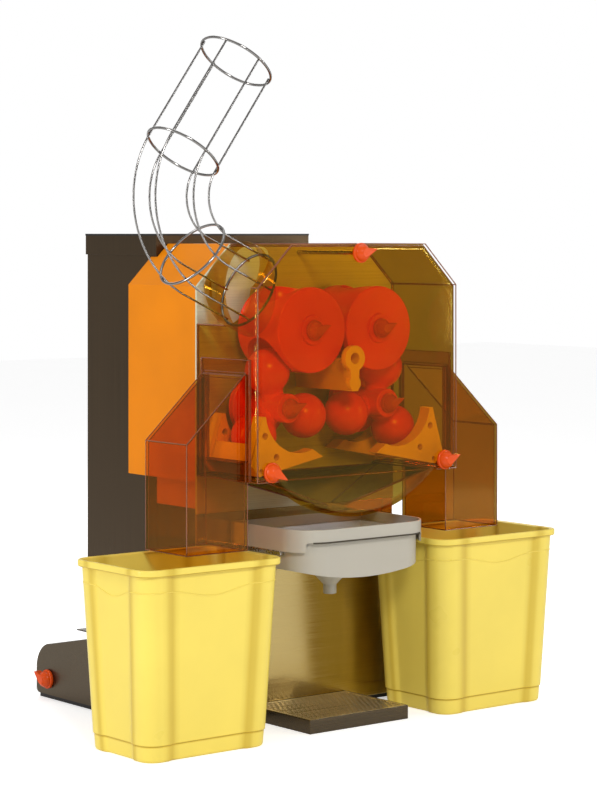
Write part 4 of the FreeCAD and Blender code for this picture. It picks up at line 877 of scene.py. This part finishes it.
class JUICER_OT_cup_drums(JuicerOperator, bpy.types.Operator):
    """Two drums with three round pockets each"""

    bl_idname = "juicer.cup_drums"
    bl_label = "Cup drums"

    HUB, RISE, POCKET, ORBIT = 0.022, 0.004, 0.0389, 0.99

    def build(self, size):
        for side, sign in SIDES:
            self.drum(size, side, sign)

    def drum(self, size, side, sign):
        node = f"{side}_cup_drum"
        low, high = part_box(node)
        bore, radius = bore_of(f"{side}_upper_shaft"), (high.z - low.z) / 2
        edge, hub = size.drum_edge, self.HUB
        front, rear = low.y + self.RISE, high.y
        profile = [(bore, low.y)]
        profile += arc_points((hub - edge / 2, low.y + edge / 2), edge / 2, -90, 0, 4)
        profile += [(hub, front - edge / 3), (hub + edge / 3, front)]
        profile += arc_points((radius - edge, front + edge), edge, -90, 0, 6)
        profile += arc_points((radius - edge, rear - edge), edge, 0, 90, 6)
        profile += [(bore, rear)]
        centre = axis_of(node)
        solid = lathe(profile, centre, REARWARDS, size.round_steps)
        piece = to_object(f"{node}_dressed", solid, "drum_plastic")
        away = axis_of(f"{side}_lower_shaft") - centre
        first = math.atan2(away.z, away.x) + sign * LEAD
        turns = [first + sign * pocket * THIRD for pocket in range(3)]
        middle = (rear + low.y + self.RISE) / 2
        carve(piece, *self.pockets(centre, middle, radius * self.ORBIT, turns))
        attach(flattened(piece, angle=40), body_of(node), node)

    def pockets(self, centre, y, orbit, turns):
        """Spheres where the node's own pockets are."""
        cutters = []
        for turn in turns:
            bm = bmesh.new()
            bmesh.ops.create_uvsphere(bm, u_segments=72, v_segments=48, radius=self.POCKET)
            place = (centre.x + orbit * math.cos(turn), y, centre.z + orbit * math.sin(turn))
            bmesh.ops.translate(bm, vec=place, verts=bm.verts)
            cutters.append(to_object("cutter", bm))
        return cutters


class JUICER_OT_ball_drums(JuicerOperator, bpy.types.Operator):
    """Two drums with three balls each on short arms"""

    bl_idname = "juicer.ball_drums"
    bl_label = "Ball drums"

    HUB, FLANGE, FLANGE_DEEP, ARM, BALL = 0.022, 0.05, 0.012, 0.017, 0.034
    CUP_ORBIT, DEEP, ARM_STEPS = 0.064 * 0.99, 0.1, 44

    def build(self, size):
        for side, sign in SIDES:
            self.drum(size, side, sign)

    def drum(self, size, side, sign):
        node, shaft = f"{side}_ball_drum", f"{side}_lower_shaft"
        nose, rear, bore = level(shaft, 1, 0), level(node, 1, 1), bore_of(shaft)
        edge, hub, wide, flange = size.drum_edge, self.HUB, self.FLANGE, rear - self.FLANGE_DEEP
        profile = [(bore, nose), *arc_points((hub - edge, nose + edge), edge, -90, 0, 5)]
        profile += [(hub, flange - edge), (hub + edge, flange)]
        profile += arc_points((wide - edge, flange + edge), edge, -90, 0, 5)
        profile += arc_points((wide - edge, rear - edge), edge, 0, 90, 5)
        profile += [(bore, rear)]
        centre = axis_of(shaft)
        solid = lathe(profile, centre, REARWARDS, size.round_steps)
        piece = to_object(f"{node}_dressed", solid, "drum_plastic")
        above = axis_of(f"{side}_upper_shaft")
        across, up = above.x - centre.x, above.z - centre.z
        first = math.atan2(up, across) - sign * LEAD
        outline = self.arm_profile(size, bore, math.hypot(across, up) - self.CUP_ORBIT)
        root = Vector((centre.x, (rear + (rear - self.DEEP)) / 2, centre.z))
        arms = []
        for arm in range(3):
            turn = first - sign * arm * THIRD
            way = Vector((math.cos(turn), 0, math.sin(turn)))
            arms.append(to_object("arm", lathe(outline, root, way, 64)))
        carve(piece, *arms, operation="UNION")
        attach(flattened(piece, angle=40), body_of(node), node)

    def arm_profile(self, size, bore, orbit):
        """Arm that swells softly into a ball, from inside the hub outwards."""
        start, ball, thick, soft = bore + 0.004, self.BALL, self.ARM, size.ball_blend
        points = [(0, start)]
        for step in range(self.ARM_STEPS):
            along = start + (orbit + ball - start) * math.sin(step / self.ARM_STEPS * math.pi / 2)
            bulge = math.sqrt(max(ball**2 - (along - orbit) ** 2, 0)) if along > orbit - ball else 0
            if along < orbit:
                near = max(soft - abs(thick - bulge), 0) / soft
                bulge = max(thick, bulge) + near * near * soft / 4
            points.append((bulge, along))
        return points + [(0, orbit + ball)]


class JUICER_OT_wing_knobs(JuicerOperator, bpy.types.Operator):
    """Wing knobs on the drums, the cover and the base"""

    bl_idname = "juicer.wing_knobs"
    bl_label = "Wing knobs"

    HEIGHT, RADIUS = 0.016, 0.015
    SIDE_Y, SIDE_Z = 0.1425, 0.032
    DRUM_TURN, SIDE_TURN, COVER_TURNS = 20, 60, {"top": 15, "left": -30, "right": 20}

    def build(self, size):
        for side, _ in SIDES:
            for row in ("upper", "lower"):
                node, shaft = f"{side}_{row}_knob", axis_of(f"{side}_{row}_shaft")
                foot = (shaft.x, level(node, 1, 1), shaft.z)
                self.knob(node, foot, FORWARDS, self.DRUM_TURN)
        rear = level("top_cover_knob", 1, 1)
        for place, (x, z) in COVER_SCREWS.items():
            self.knob(f"{place}_cover_knob", (x, rear, z), FORWARDS, self.COVER_TURNS[place])
        painted("turned_steel", "top_cover_screw")
        for end, (side, sign) in enumerate(SIDES):
            node = f"{side}_side_knob"
            foot = (level(node, 0, end) - sign * self.HEIGHT, self.SIDE_Y, self.SIDE_Z)
            self.knob(node, foot, (sign, 0, 0), self.SIDE_TURN)

    def knob(self, node, foot, along, turn):
        """A knob built on +Z, then turned to where the node stands."""
        lip, shoulder = 0.001, 0.002
        profile = [(0, 0), *arc_points((self.RADIUS - lip, lip), lip, -90, 0, 3)]
        profile += arc_points((self.RADIUS - shoulder, 0.0032), shoulder, 0, 90, 4)
        profile += [(0.0132, 0.006), (0.0122, 0.0088), (0.0105, 0.0116), (0.0085, 0.0138)]
        profile += [(0.006, 0.0153), (0.003, 0.0159), (0, self.HEIGHT)]
        piece = to_object(f"{node}_dressed", lathe(profile, (0, 0, 0), UP, 48), "knob_plastic")
        carve(piece, self.wing(), operation="UNION")
        piece.data.transform(frame_to(foot, along) @ Matrix.Rotation(math.radians(turn), 4, "Z"))
        attach(flattened(piece, angle=38), body_of(node), node)

    def wing(self):
        """Pointed wing that stands on the dome, with softened edges."""
        nose, reach, blunt, half_tip = 0.0075, 0.022, 0.0004, 0.0006
        bottom, top, soft = 0.0025, self.HEIGHT, 0.0012
        touch = math.degrees(math.acos(nose / reach))
        outline = [(reach - blunt, -half_tip), (reach, 0), (reach - blunt, half_tip)]
        outline += arc_points((0, 0), nose, touch, 360 - touch, 20)
        rings = []
        for inset, z in ((soft, bottom), (0, bottom + soft), (0, top - soft), (soft, top)):
            share = 1 - inset / nose
            rings.append([(x * share, y * share, z) for x, y in outline])
        return to_object("wing", stacked(rings))


class JUICER_OT_guides(JuicerOperator, bpy.types.Operator):
    """Knife holder with its blade, the peel ejectors and the juice funnel"""

    bl_idname = "juicer.guides"
    bl_label = "Guides"

    EYE, LOBE, EYE_HOLE, DISC, ABOVE, LIFT = 0.019, 0.011, 0.0085, 0.01, 0.01, 0.0005

    def build(self, size):
        self.knife_holder(size)
        painted("blade_steel", "knife_blade")
        for side, _ in SIDES:
            dressed(f"{side}_ejector", "guide_plastic", size.moulded_edge)
        dressed("juice_funnel", "funnel_sheet", size.sheet_edge)
        seams("juice_funnel", size.seam_radius * 1.6)

    def knife_holder(self, size):
        """The node's wedge with a round eye above it and a small lobe on its nose."""
        node = "knife_holder"
        low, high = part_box(node)
        piece = merged_copy(node, "guide_plastic")
        eye_z, lobe_z = high.z + self.ABOVE - self.EYE, low.z + self.LOBE + self.LIFT
        spots = ((eye_z, self.EYE), (lobe_z, self.LOBE))
        discs = [pin((0, low.y, z), REARWARDS, radius, self.DISC) for z, radius in spots]
        carve(piece, *discs, operation="UNION")
        carve(piece, pin((0, low.y - self.DISC, eye_z), REARWARDS, self.EYE_HOLE, self.DISC * 4))
        attach(rounded(piece, size.moulded_edge / 2), body_of(node), node)


def cover_ring(inset, y):
    """Outline of the cover moved inwards: six corners over an arc between its ears."""
    half, top, ear = HALF_HOUSING - inset, HOUSING_TOP - inset, COVER_EAR + inset
    chamfer = COVER_CHAMFER - inset * (2 - math.sqrt(2))
    low, radius = COVER_LOW + inset, COVER_ARC - inset
    reach = math.sqrt(radius**2 - (low + radius - ear) ** 2)
    points = [(-half, ear), (-half, top - chamfer), (chamfer - half, top)]
    points += [(half - chamfer, top), (half, top - chamfer), (half, ear)]
    end = math.degrees(math.asin(reach / radius))
    points += arc_points((0, low + radius), radius, -90 + end, -90 - end, 32)
    return [(x, y, z) for x, z in points]


class JUICER_OT_cover(JuicerOperator, bpy.types.Operator):
    """Clear front cover, its two chutes and the feeder's collar"""

    bl_idname = "juicer.cover"
    bl_label = "Clear cover"

    BEND_STEPS = 6
    BRIM, WINDOW, WINDOW_Z = 0.022, (0.125, 0.03), (0.404, 0.53)
    SLOT_RADIUS, SLOT_RUN, SCREW_HOLE = 0.0658, 0.193, 0.0031

    def build(self, size):
        wall, bend = size.cover_wall, size.cover_edge
        rings = self.bent(0.0, bend) + [cover_ring(0, COVER_REAR), cover_ring(wall, COVER_REAR)]
        rings += self.bent(wall, bend - wall)[::-1]
        piece = to_object("front_cover_dressed", stacked(rings), "amber_sheet")
        carve(piece, *self.cutters())
        attach(flattened(piece, angle=30), body_of("front_cover"), "front_cover")
        seams("front_cover", size.seam_radius * 1.3)
        for side, _ in SIDES:
            dressed(f"{side}_chute", "chute_sheet", size.sheet_edge)
            seams(f"{side}_chute", size.seam_radius)
        dressed("feed_collar", "clear_sheet", size.sheet_edge / 2)

    def bent(self, wall, radius):
        """Rings from the front face round its bend, on the outside or one wall inside it."""
        rings = []
        for step in range(self.BEND_STEPS + 1):
            turn = math.radians(90 * step / self.BEND_STEPS)
            inset = wall + radius * (1 - math.sin(turn))
            rings.append(cover_ring(inset, COVER_FRONT + wall + radius * (1 - math.cos(turn))))
        return rings

    def cutters(self):
        """Everything that is cut from the cover's shell."""
        out, below, past = 0.3, 0.3, 0.01
        behind, (front, rear), (low, high) = COVER_REAR + past, self.WINDOW, self.WINDOW_Z
        under = crate((-out, COVER_FRONT + self.BRIM, below), (out, behind, COVER_EAR))
        windows = crate((-out, BODY_FRONT - front, low), (out, BODY_FRONT - rear, high))
        tube = pin(FEED_END, FEED_WAY, self.SLOT_RADIUS, self.SLOT_RUN)
        up, run = FEED_UP * self.SLOT_RADIUS, FEED_WAY * self.SLOT_RUN
        side = [FEED_END + up, FEED_END + up + run, FEED_END - up + run, FEED_END - up]
        rings = [[(p.x, y, p.z) for p in side] for y in (FEED_END.y, behind)]
        opening = to_object("cutter", stacked(rings))
        ahead = COVER_FRONT - past / 2
        holes = [
            pin((x, ahead, z), REARWARDS, self.SCREW_HOLE, past * 2, 24)
            for x, z in COVER_SCREWS.values()
        ]
        return [under, windows, tube, opening, *holes]


def swung(vector, turn):
    """A direction turned about the feeder's bend, in degrees."""
    return Matrix.Rotation(math.radians(turn), 3, "Y") @ vector


class JUICER_OT_feeder(JuicerOperator, bpy.types.Operator):
    """Six bent wires held by four rings"""

    bl_idname = "juicer.feeder"
    bl_label = "Wire feeder"

    WIRES, ORBIT, WELD, RING_TURN = 6, 0.0545, 0.0005, 16.75
    BEND_STEPS, RING_STEPS = 40, 72

    def build(self, size):
        apart = 360 // self.WIRES
        wires = [(self.wire(apart / 2 + apart * index), False) for index in range(self.WIRES)]
        margin = size.ring_radius
        orbit = self.ORBIT + size.wire_radius + margin - self.WELD
        stops = (
            (0, margin - FEED_RUN),
            (self.RING_TURN, 0),
            (FEED_TURN, 0),
            (FEED_TURN, FEED_RISER - margin),
        )
        rings = [(self.ring(orbit, turn, along), True) for turn, along in stops]
        bars = swept("feeder_wires", wires, size.wire_radius, 12, "wire_chrome")
        attach(shade(bars, angle=60), "feeder", "wire_feeder")
        hoops = swept("feeder_rings", rings, size.ring_radius, 14, "wire_chrome")
        attach(shade(hoops, angle=60), "feeder", "wire_feeder")

    def wire(self, turn):
        """Path of one wire, a turn in degrees round the centre line."""
        turn = math.radians(turn)
        across = Vector((0, self.ORBIT * math.sin(turn), 0))
        inward = self.ORBIT * math.cos(turn)
        arm = FEED_UP * (inward - FEED_BEND)
        points = [FEED_END + FEED_UP * inward + across]
        for step in range(self.BEND_STEPS + 1):
            swing = swung(arm, FEED_TURN * step / self.BEND_STEPS)
            points.append(BEND_CENTRE + swing + across)
        points.append(points[-1] + swung(FEED_WAY, FEED_TURN) * FEED_RISER)
        return points

    def ring(self, orbit, turn, along):
        """A ring square to the centre line, at a turn of the bend and a way past it."""
        way, up, side = swung(FEED_WAY, turn), swung(FEED_UP, turn), Vector(REARWARDS)
        centre = BEND_CENTRE - up * FEED_BEND + way * along
        turns = turns_round(self.RING_STEPS)
        return [centre + (up * math.cos(t) + side * math.sin(t)) * orbit for t in turns]


class JUICER_OT_juice_tray(JuicerOperator, bpy.types.Operator):
    """Juice tray with its nozzle, rails and strainer"""

    bl_idname = "juicer.juice_tray"
    bl_label = "Juice tray"

    LIP_DROP, GRIP_DROP, GRIP_INSET, SHADE_INSET, SHADE_DEEP = 0.019, 0.033, 0.016, 0.022, 0.05

    def build(self, size):
        tray = merged_copy("juice_tray", "tray_plastic")
        self.soften_lip(tray, size.lip_curve)
        attach(rounded(tray, size.moulded_edge / 2), body_of("juice_tray"), "juice_tray")
        dressed("spout_nozzle", "tray_plastic", size.sheet_edge)
        dressed("tray_rails", "turned_steel", size.sheet_edge)
        painted("strainer_steel", "pulp_strainer")
        self.lip_shadow(size)

    def lip_shadow(self, size):
        """Painted shadow: a dark line in the corner under the front lip, where shade falls."""
        under = level("juice_tray", 2, 1) - self.LIP_DROP
        reach = level("juice_tray", 0, 1) - self.SHADE_INSET
        behind = level("juice_tray", 1, 0) + self.SHADE_DEEP

        def keep(*ends):
            return all(
                abs(end.z - under) < TINY * 20 and abs(end.x) < reach and end.y < behind
                for end in ends
            )

        line = size.lip_shadow_line
        seams("juice_tray", line, "tray_shadow", shortest=0.0005, angle=20.0, keep=keep)

    def soften_lip(self, tray, radius):
        """Turns the steps at both ends of the front lip into soft double curves."""
        top, grip = level("juice_tray", 2, 1), level("juice_tray", 0, 1) - self.GRIP_INSET
        bm = bmesh.new()
        bm.from_mesh(tray.data)
        steps = []
        for edge in bm.edges:
            first, second = (vert.co for vert in edge.verts)
            level_edge = abs(first.z - second.z) < TINY and abs(first.x - second.x) < TINY
            low = min(abs(first.z - top + drop) for drop in (self.LIP_DROP, self.GRIP_DROP))
            if level_edge and abs(abs(first.x) - grip) < TINY * 20 and low < TINY * 20:
                steps.append(edge)
        bmesh.ops.bevel(bm, geom=steps, offset=radius, segments=5, profile=0.5, affect="EDGES")
        bm.to_mesh(tray.data)
        bm.free()


class JUICER_OT_drip_tray(JuicerOperator, bpy.types.Operator):
    """Drip tray with its perforated grate"""

    bl_idname = "juicer.drip_tray"
    bl_label = "Drip tray"

    RIM, SHEET, SUNK = 0.006, 0.0012, 0.0004

    def build(self, size):
        dressed("drip_tray", "base_sheet", size.sheet_edge)
        low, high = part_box("drip_grate")
        pitch = size.perforation_pitch
        row_pitch = pitch * ROW_SHARE
        columns = int((high.x - low.x - self.RIM) / pitch - 0.5)
        rows = int((high.y - low.y - self.RIM) / row_pitch)
        left = (low.x + high.x - (columns - 0.5) * pitch) / 2
        front = (low.y + high.y - (rows - 1) * row_pitch) / 2
        values = {
            "Cell": hole_cell(size.perforation_radius / pitch),
            "Columns": columns,
            "Rows": rows,
            "Pitch": pitch,
            "Thickness": self.SHEET,
            "Corner": Vector((left, front, high.z - self.SHEET - self.SUNK)),
            "Material": finish("grate_sheet"),
        }
        piece = to_object("drip_grate_dressed", bmesh.new())
        run_tree(piece, perforated_tree(), values)
        bpy.data.objects.remove(values["Cell"])
        attach(shade(piece), body_of("drip_grate"), "drip_grate")
        self.rim((low, high), size.sheet_edge / 3)

    def rim(self, box, edge):
        """Folded border that lies on the perforated sheet."""
        heights = (box[0].z, box[1].z)
        band = square_band("drip_grate_rim", box, (-self.RIM, 0.0), heights, "grate_sheet")
        attach(rounded(band, edge), body_of("drip_grate"), slot=SLOT_OF["drip_grate"])


class JUICER_OT_bins(JuicerOperator, bpy.types.Operator):
    """Two tapered bins with corner bands, a rolled rim and moulded beads"""

    bl_idname = "juicer.bins"
    bl_label = "Peel bins"

    TALL, FOOT, CORNER, BAND, RECESS, REACH = 0.271, (0.108, 0.076), 0.026, 0.038, 0.0035, 0.004
    SLOPE, WALL, ROLL, SEAM, STEP_IN = 0.009, 0.0025, 0.01, 0.024, 0.0018
    SIDE_STEPS, CORNER_STEPS = 26, 8
    # Rings with painted shade: the foot's seam and the rim's underside
    PAINTED_SHADE_RINGS = (5, 6, 14, 15)

    def build(self, size):
        for side, _ in SIDES:
            low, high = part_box(f"{side}_bin")
            rim = ((high.x - low.x) / 2, (high.y - low.y) / 2)
            self.bin(side, (low + high) / 2, rim)
            self.bead(side, (low + high) / 2, rim, size.bead_radius)

    def halves(self, rim, z):
        """Half width and half depth of the tapered body at a height."""
        share = z / self.TALL
        foot = self.FOOT
        return [foot[axis] * (1 - share) + (rim[axis] - self.REACH) * share for axis in (0, 1)]

    def along_side(self, along, across, inset, share):
        """Point on one side of the outline, from its left band to its right one."""
        reach = along - self.CORNER
        u = (2 * share - 1) * reach
        edge = along - self.BAND
        sunk = min(max((edge - abs(u)) / self.SLOPE, 0), 1)
        depth = self.RECESS * sunk * sunk * (3 - 2 * sunk)
        return u, depth - across + inset

    def lap(self, centre, shape, inset=0.0, sink=True):
        """Points once round a bin; shape gives the halves and the height at a share of a side."""
        points = []
        for quarter in range(4):
            for step in range(self.SIDE_STEPS + 1):
                share = step / self.SIDE_STEPS
                halves, z = shape(share)
                along, across = halves if quarter % 2 == 0 else halves[::-1]
                u, v = self.along_side(along, across, inset, share)
                points.append(self.spun(centre, (u, v if sink else inset - across), quarter, z))
            halves, z = shape(0.0)
            along, across = halves if quarter % 2 == 0 else halves[::-1]
            place, radius = (along - self.CORNER, self.CORNER - across), self.CORNER - inset
            for point in arc_points(place, radius, -90, 0, self.CORNER_STEPS)[1:-1]:
                points.append(self.spun(centre, point, quarter, z))
        return points

    @staticmethod
    def spun(centre, point, quarter, z):
        """A point of the front side, turned to another side."""
        u, v = point
        u, v = ((u, v), (-v, u), (-u, -v), (v, -u))[quarter]
        return (centre.x + u, centre.y + v, z)

    def bin(self, side, centre, rim):
        """Skin from the foot up the outside, over the rolled rim and down the inside."""
        tall, wall, seam, lowest = self.TALL, self.WALL, self.SEAM, 0.003
        roll = tall - self.ROLL
        rings = []

        def add(inset, z, taper_z=None, sink=True):
            halves = self.halves(rim, z if taper_z is None else taper_z) if sink else rim
            rings.append(self.lap(centre, lambda share: (halves, z), inset, sink))

        for z, inset in ((0.0, 0.0035), (0.0008, 0.0016), (0.0028, 0.0003), (0.005, 0.0)):
            add(inset + self.STEP_IN, z)
        steps = ((self.STEP_IN, -0.003), (self.STEP_IN, -0.0006), (0.0002, 0.0002), (0.0, 0.0012))
        for inset, rise in steps:
            add(inset, seam + rise, seam)
        for share in (0.2, 0.4, 0.6, 0.8, 1.0):
            add(0.0, seam + (roll - 0.001 - seam) * share)
        add(-0.0008, roll)
        under = ((0.0009, 0.0098), (0.0002, 0.0092), (0, 0.0082), (0, 0.0025))
        over = ((0.0004, 0.0011), (0.0015, 0.0002), (0.0028, 0.0), (0.0042, 0.0003))
        for inset, drop in under + over:
            add(inset, tall - drop, sink=False)
        add(wall - 0.0004, tall - 0.0012, tall)
        for share in (1.0, 0.75, 0.5, 0.25, 0.02):
            add(wall, lowest + (tall - lowest - lowest) * share)
        add(wall + lowest, lowest)
        piece = to_object(f"{side}_bin_dressed", stacked(rings), "bin_plastic")
        # Painted shade in the grooves beside the bands, at the foot's seam and under the rim
        self.paint_groove_shade(piece, len(rings[0]))
        attach(flattened(piece, angle=40), f"bin_{side}", f"{side}_bin")

    def paint_groove_shade(self, piece, count):
        """Paints shade on the strips that sink from the bands, on the foot's seam and on the rim's
        underside.
        """
        middle, reach, strip_shade, ring_shade = 0.1, 0.09, 0.75, 0.9
        tone = piece.data.attributes.new("groove", "FLOAT", "POINT")
        for index, item in enumerate(tone.data):
            place = index % count % (self.SIDE_STEPS + self.CORNER_STEPS)
            share = place / self.SIDE_STEPS
            near = min(abs(share - middle), abs(share - (1 - middle)))
            strip = max(0.0, 1 - near / reach) ** 1.5 * strip_shade if share <= 1 else 0.0
            item.value = max(strip, ring_shade * (index // count in self.PAINTED_SHADE_RINGS))

    def bead(self, side, centre, rim, radius):
        """Wavy line moulded under the rim, lower between the corner bands."""
        high, dip, margin = self.TALL - 0.033, 0.011, 0.08

        def shape(share):
            along = min(max((share - margin) / (1 - 2 * margin), 0), 1)
            z = high - dip * math.sin(math.pi * along) ** 2
            return self.halves(rim, z), z

        path = (self.lap(centre, shape), True)
        piece = swept(f"{side}_bin_bead", [path], radius, 8, "bin_plastic")
        attach(shade(piece, angle=60), f"bin_{side}", slot="bin_yellow")


class JUICER_OT_stage(JuicerOperator, bpy.types.Operator):
    """Pale floor, soft studio lights, white surroundings and the camera"""

    bl_idname = "juicer.stage"
    bl_label = "Stage"

    # Each lamp's name, place, target, extent in metres and power in watts
    LAMPS = (
        ("key_light", (-1.5, -3.2, 2.3), (0, -0.1, 0.45), (0.8, 0.8), 68),
        ("side_strip", (-3.0, 0.2, 1.1), (0, -0.1, 0.5), (0.2, 1.8), 32),
        ("front_strip", (2.4, -2.6, 1.2), (0, -0.1, 0.5), (0.2, 1.6), 20),
        ("top_light", (0.2, 0.3, 3.0), (0, 0, 0.4), (1.6, 1.6), 16),
        ("rear_light", (1.8, 2.6, 1.8), (0, 0, 0.5), (1.6, 1.6), 20),
    )
    CAMERA_PLACE, CAMERA_TURN = (-2.339, -3.1125, 0.735), -38.6
    LENS, SENSOR, SHIFT = 109.6, 36, -0.2075

    def build(self, size):
        bm = bmesh.new()
        bmesh.ops.create_grid(bm, x_segments=1, y_segments=1, size=9.0)
        floor = to_object("studio_floor", bm)
        floor.data.materials.append(self.floor_finish(size))
        self.world(size)
        for row in self.LAMPS:
            self.lamp(*row)
        self.camera()

    def floor_finish(self, size):
        """Pale floor that glows for the camera, and is dim where seen through clear sheet."""
        material, board = new_material("pale_floor")
        tint = colours().floor
        factor = ranged(board, object_noise(board, 3.0, detail=3.0), 0.0, 1.0)
        paths = board.add("ShaderNodeLightPath").outputs
        inputs = {
            "Base Color": two_tints(board, factor, opaque(tint, 0.985), opaque(tint)),
            "Roughness": 0.7,
            "Emission Color": opaque(tint),
            "Emission Strength": ranged(board, paths["Is Camera Ray"], 0.12, 0.5, 0.0, 1.0),
        }
        bright = board.out("ShaderNodeBsdfPrincipled", inputs)
        dull = board.out("ShaderNodeEmission", {"Color": opaque(tint, size.backdrop_dim)})
        behind = ranged(board, paths["Transparent Depth"], 0.0, 1.0, 0.0, 1.0)
        share = board.maths("MULTIPLY", behind, paths["Is Camera Ray"])
        surface(board, mixed(board, share, bright, dull))
        return material

    def world(self, size):
        """Even white light, dimmer where the backdrop is seen through clear sheet."""
        world = bpy.data.worlds.new("soft_white")
        world.use_nodes = True
        world.node_tree.nodes.clear()
        board = Board(world.node_tree)
        paths = board.add("ShaderNodeLightPath").outputs
        seen = ranged(board, paths["Is Camera Ray"], 0.5, 1.0, 0.0, 1.0)
        dim = ranged(board, paths["Transparent Depth"], 1.0, size.backdrop_dim, 0.0, 1.0)
        inputs = {"Color": (1, 1, 1, 1), "Strength": board.maths("MULTIPLY", seen, dim)}
        sky = board.out("ShaderNodeBackground", inputs)
        board.add("ShaderNodeOutputWorld", {"Surface": sky})
        bpy.context.scene.world = world
        bpy.context.scene.view_settings.view_transform = "Standard"

    def lamp(self, name, place, target, extent, power):
        light = bpy.data.lights.new(name, "AREA")
        light.shape, light.energy = "RECTANGLE", power
        light.size, light.size_y = extent
        lamp = linked(name, light)
        lamp.location = place
        away = Vector(place) - Vector(target)
        lamp.rotation_euler = away.to_track_quat("Z", "Y").to_euler()

    def camera(self):
        """Level camera at the photograph's angle, with its frame shifted down."""
        data = bpy.data.cameras.new("camera")
        data.lens, data.sensor_width, data.shift_y = self.LENS, self.SENSOR, self.SHIFT
        camera = linked("camera", data)
        camera.location = self.CAMERA_PLACE
        camera.rotation_euler = (math.radians(90), 0, math.radians(self.CAMERA_TURN))
        bpy.context.scene.camera = camera


OPERATORS = (
    JUICER_OT_bodywork,
    JUICER_OT_gear_case,
    JUICER_OT_drive,
    JUICER_OT_cup_drums,
    JUICER_OT_ball_drums,
    JUICER_OT_wing_knobs,
    JUICER_OT_guides,
    JUICER_OT_cover,
    JUICER_OT_feeder,
    JUICER_OT_juice_tray,
    JUICER_OT_drip_tray,
    JUICER_OT_bins,
    JUICER_OT_stage,
)


class JUICER_PT_panel(bpy.types.Panel):
    """Lists the pieces, their sizes and their colours"""

    bl_idname = "JUICER_PT_panel"
    bl_label = "Citrus juicer"
    bl_space_type = "VIEW_3D"
    bl_region_type = "UI"
    bl_category = "Juicer"

    def draw(self, context):
        column = self.layout.column(align=True)
        for operator in OPERATORS:
            column.operator(operator.bl_idname)
        for group in (context.scene.juicer_sizes, context.scene.juicer_colours):
            rows = self.layout.column()
            for name in group.__annotations__:
                rows.prop(group, name)


CLASSES = (JuicerSizes, JuicerColours, *OPERATORS, JUICER_PT_panel)


def register():
    for item in CLASSES:
        bpy.utils.register_class(item)
    bpy.types.Scene.juicer_sizes = PointerProperty(type=JuicerSizes)
    bpy.types.Scene.juicer_colours = PointerProperty(type=JuicerColours)


def unregister():
    del bpy.types.Scene.juicer_colours
    del bpy.types.Scene.juicer_sizes
    for item in reversed(CLASSES):
        bpy.utils.unregister_class(item)


def main():
    register()
    for operator in OPERATORS:
        group, name = operator.bl_idname.split(".")
        getattr(getattr(bpy.ops, group), name)()


if __name__ == "__main__":
    main()
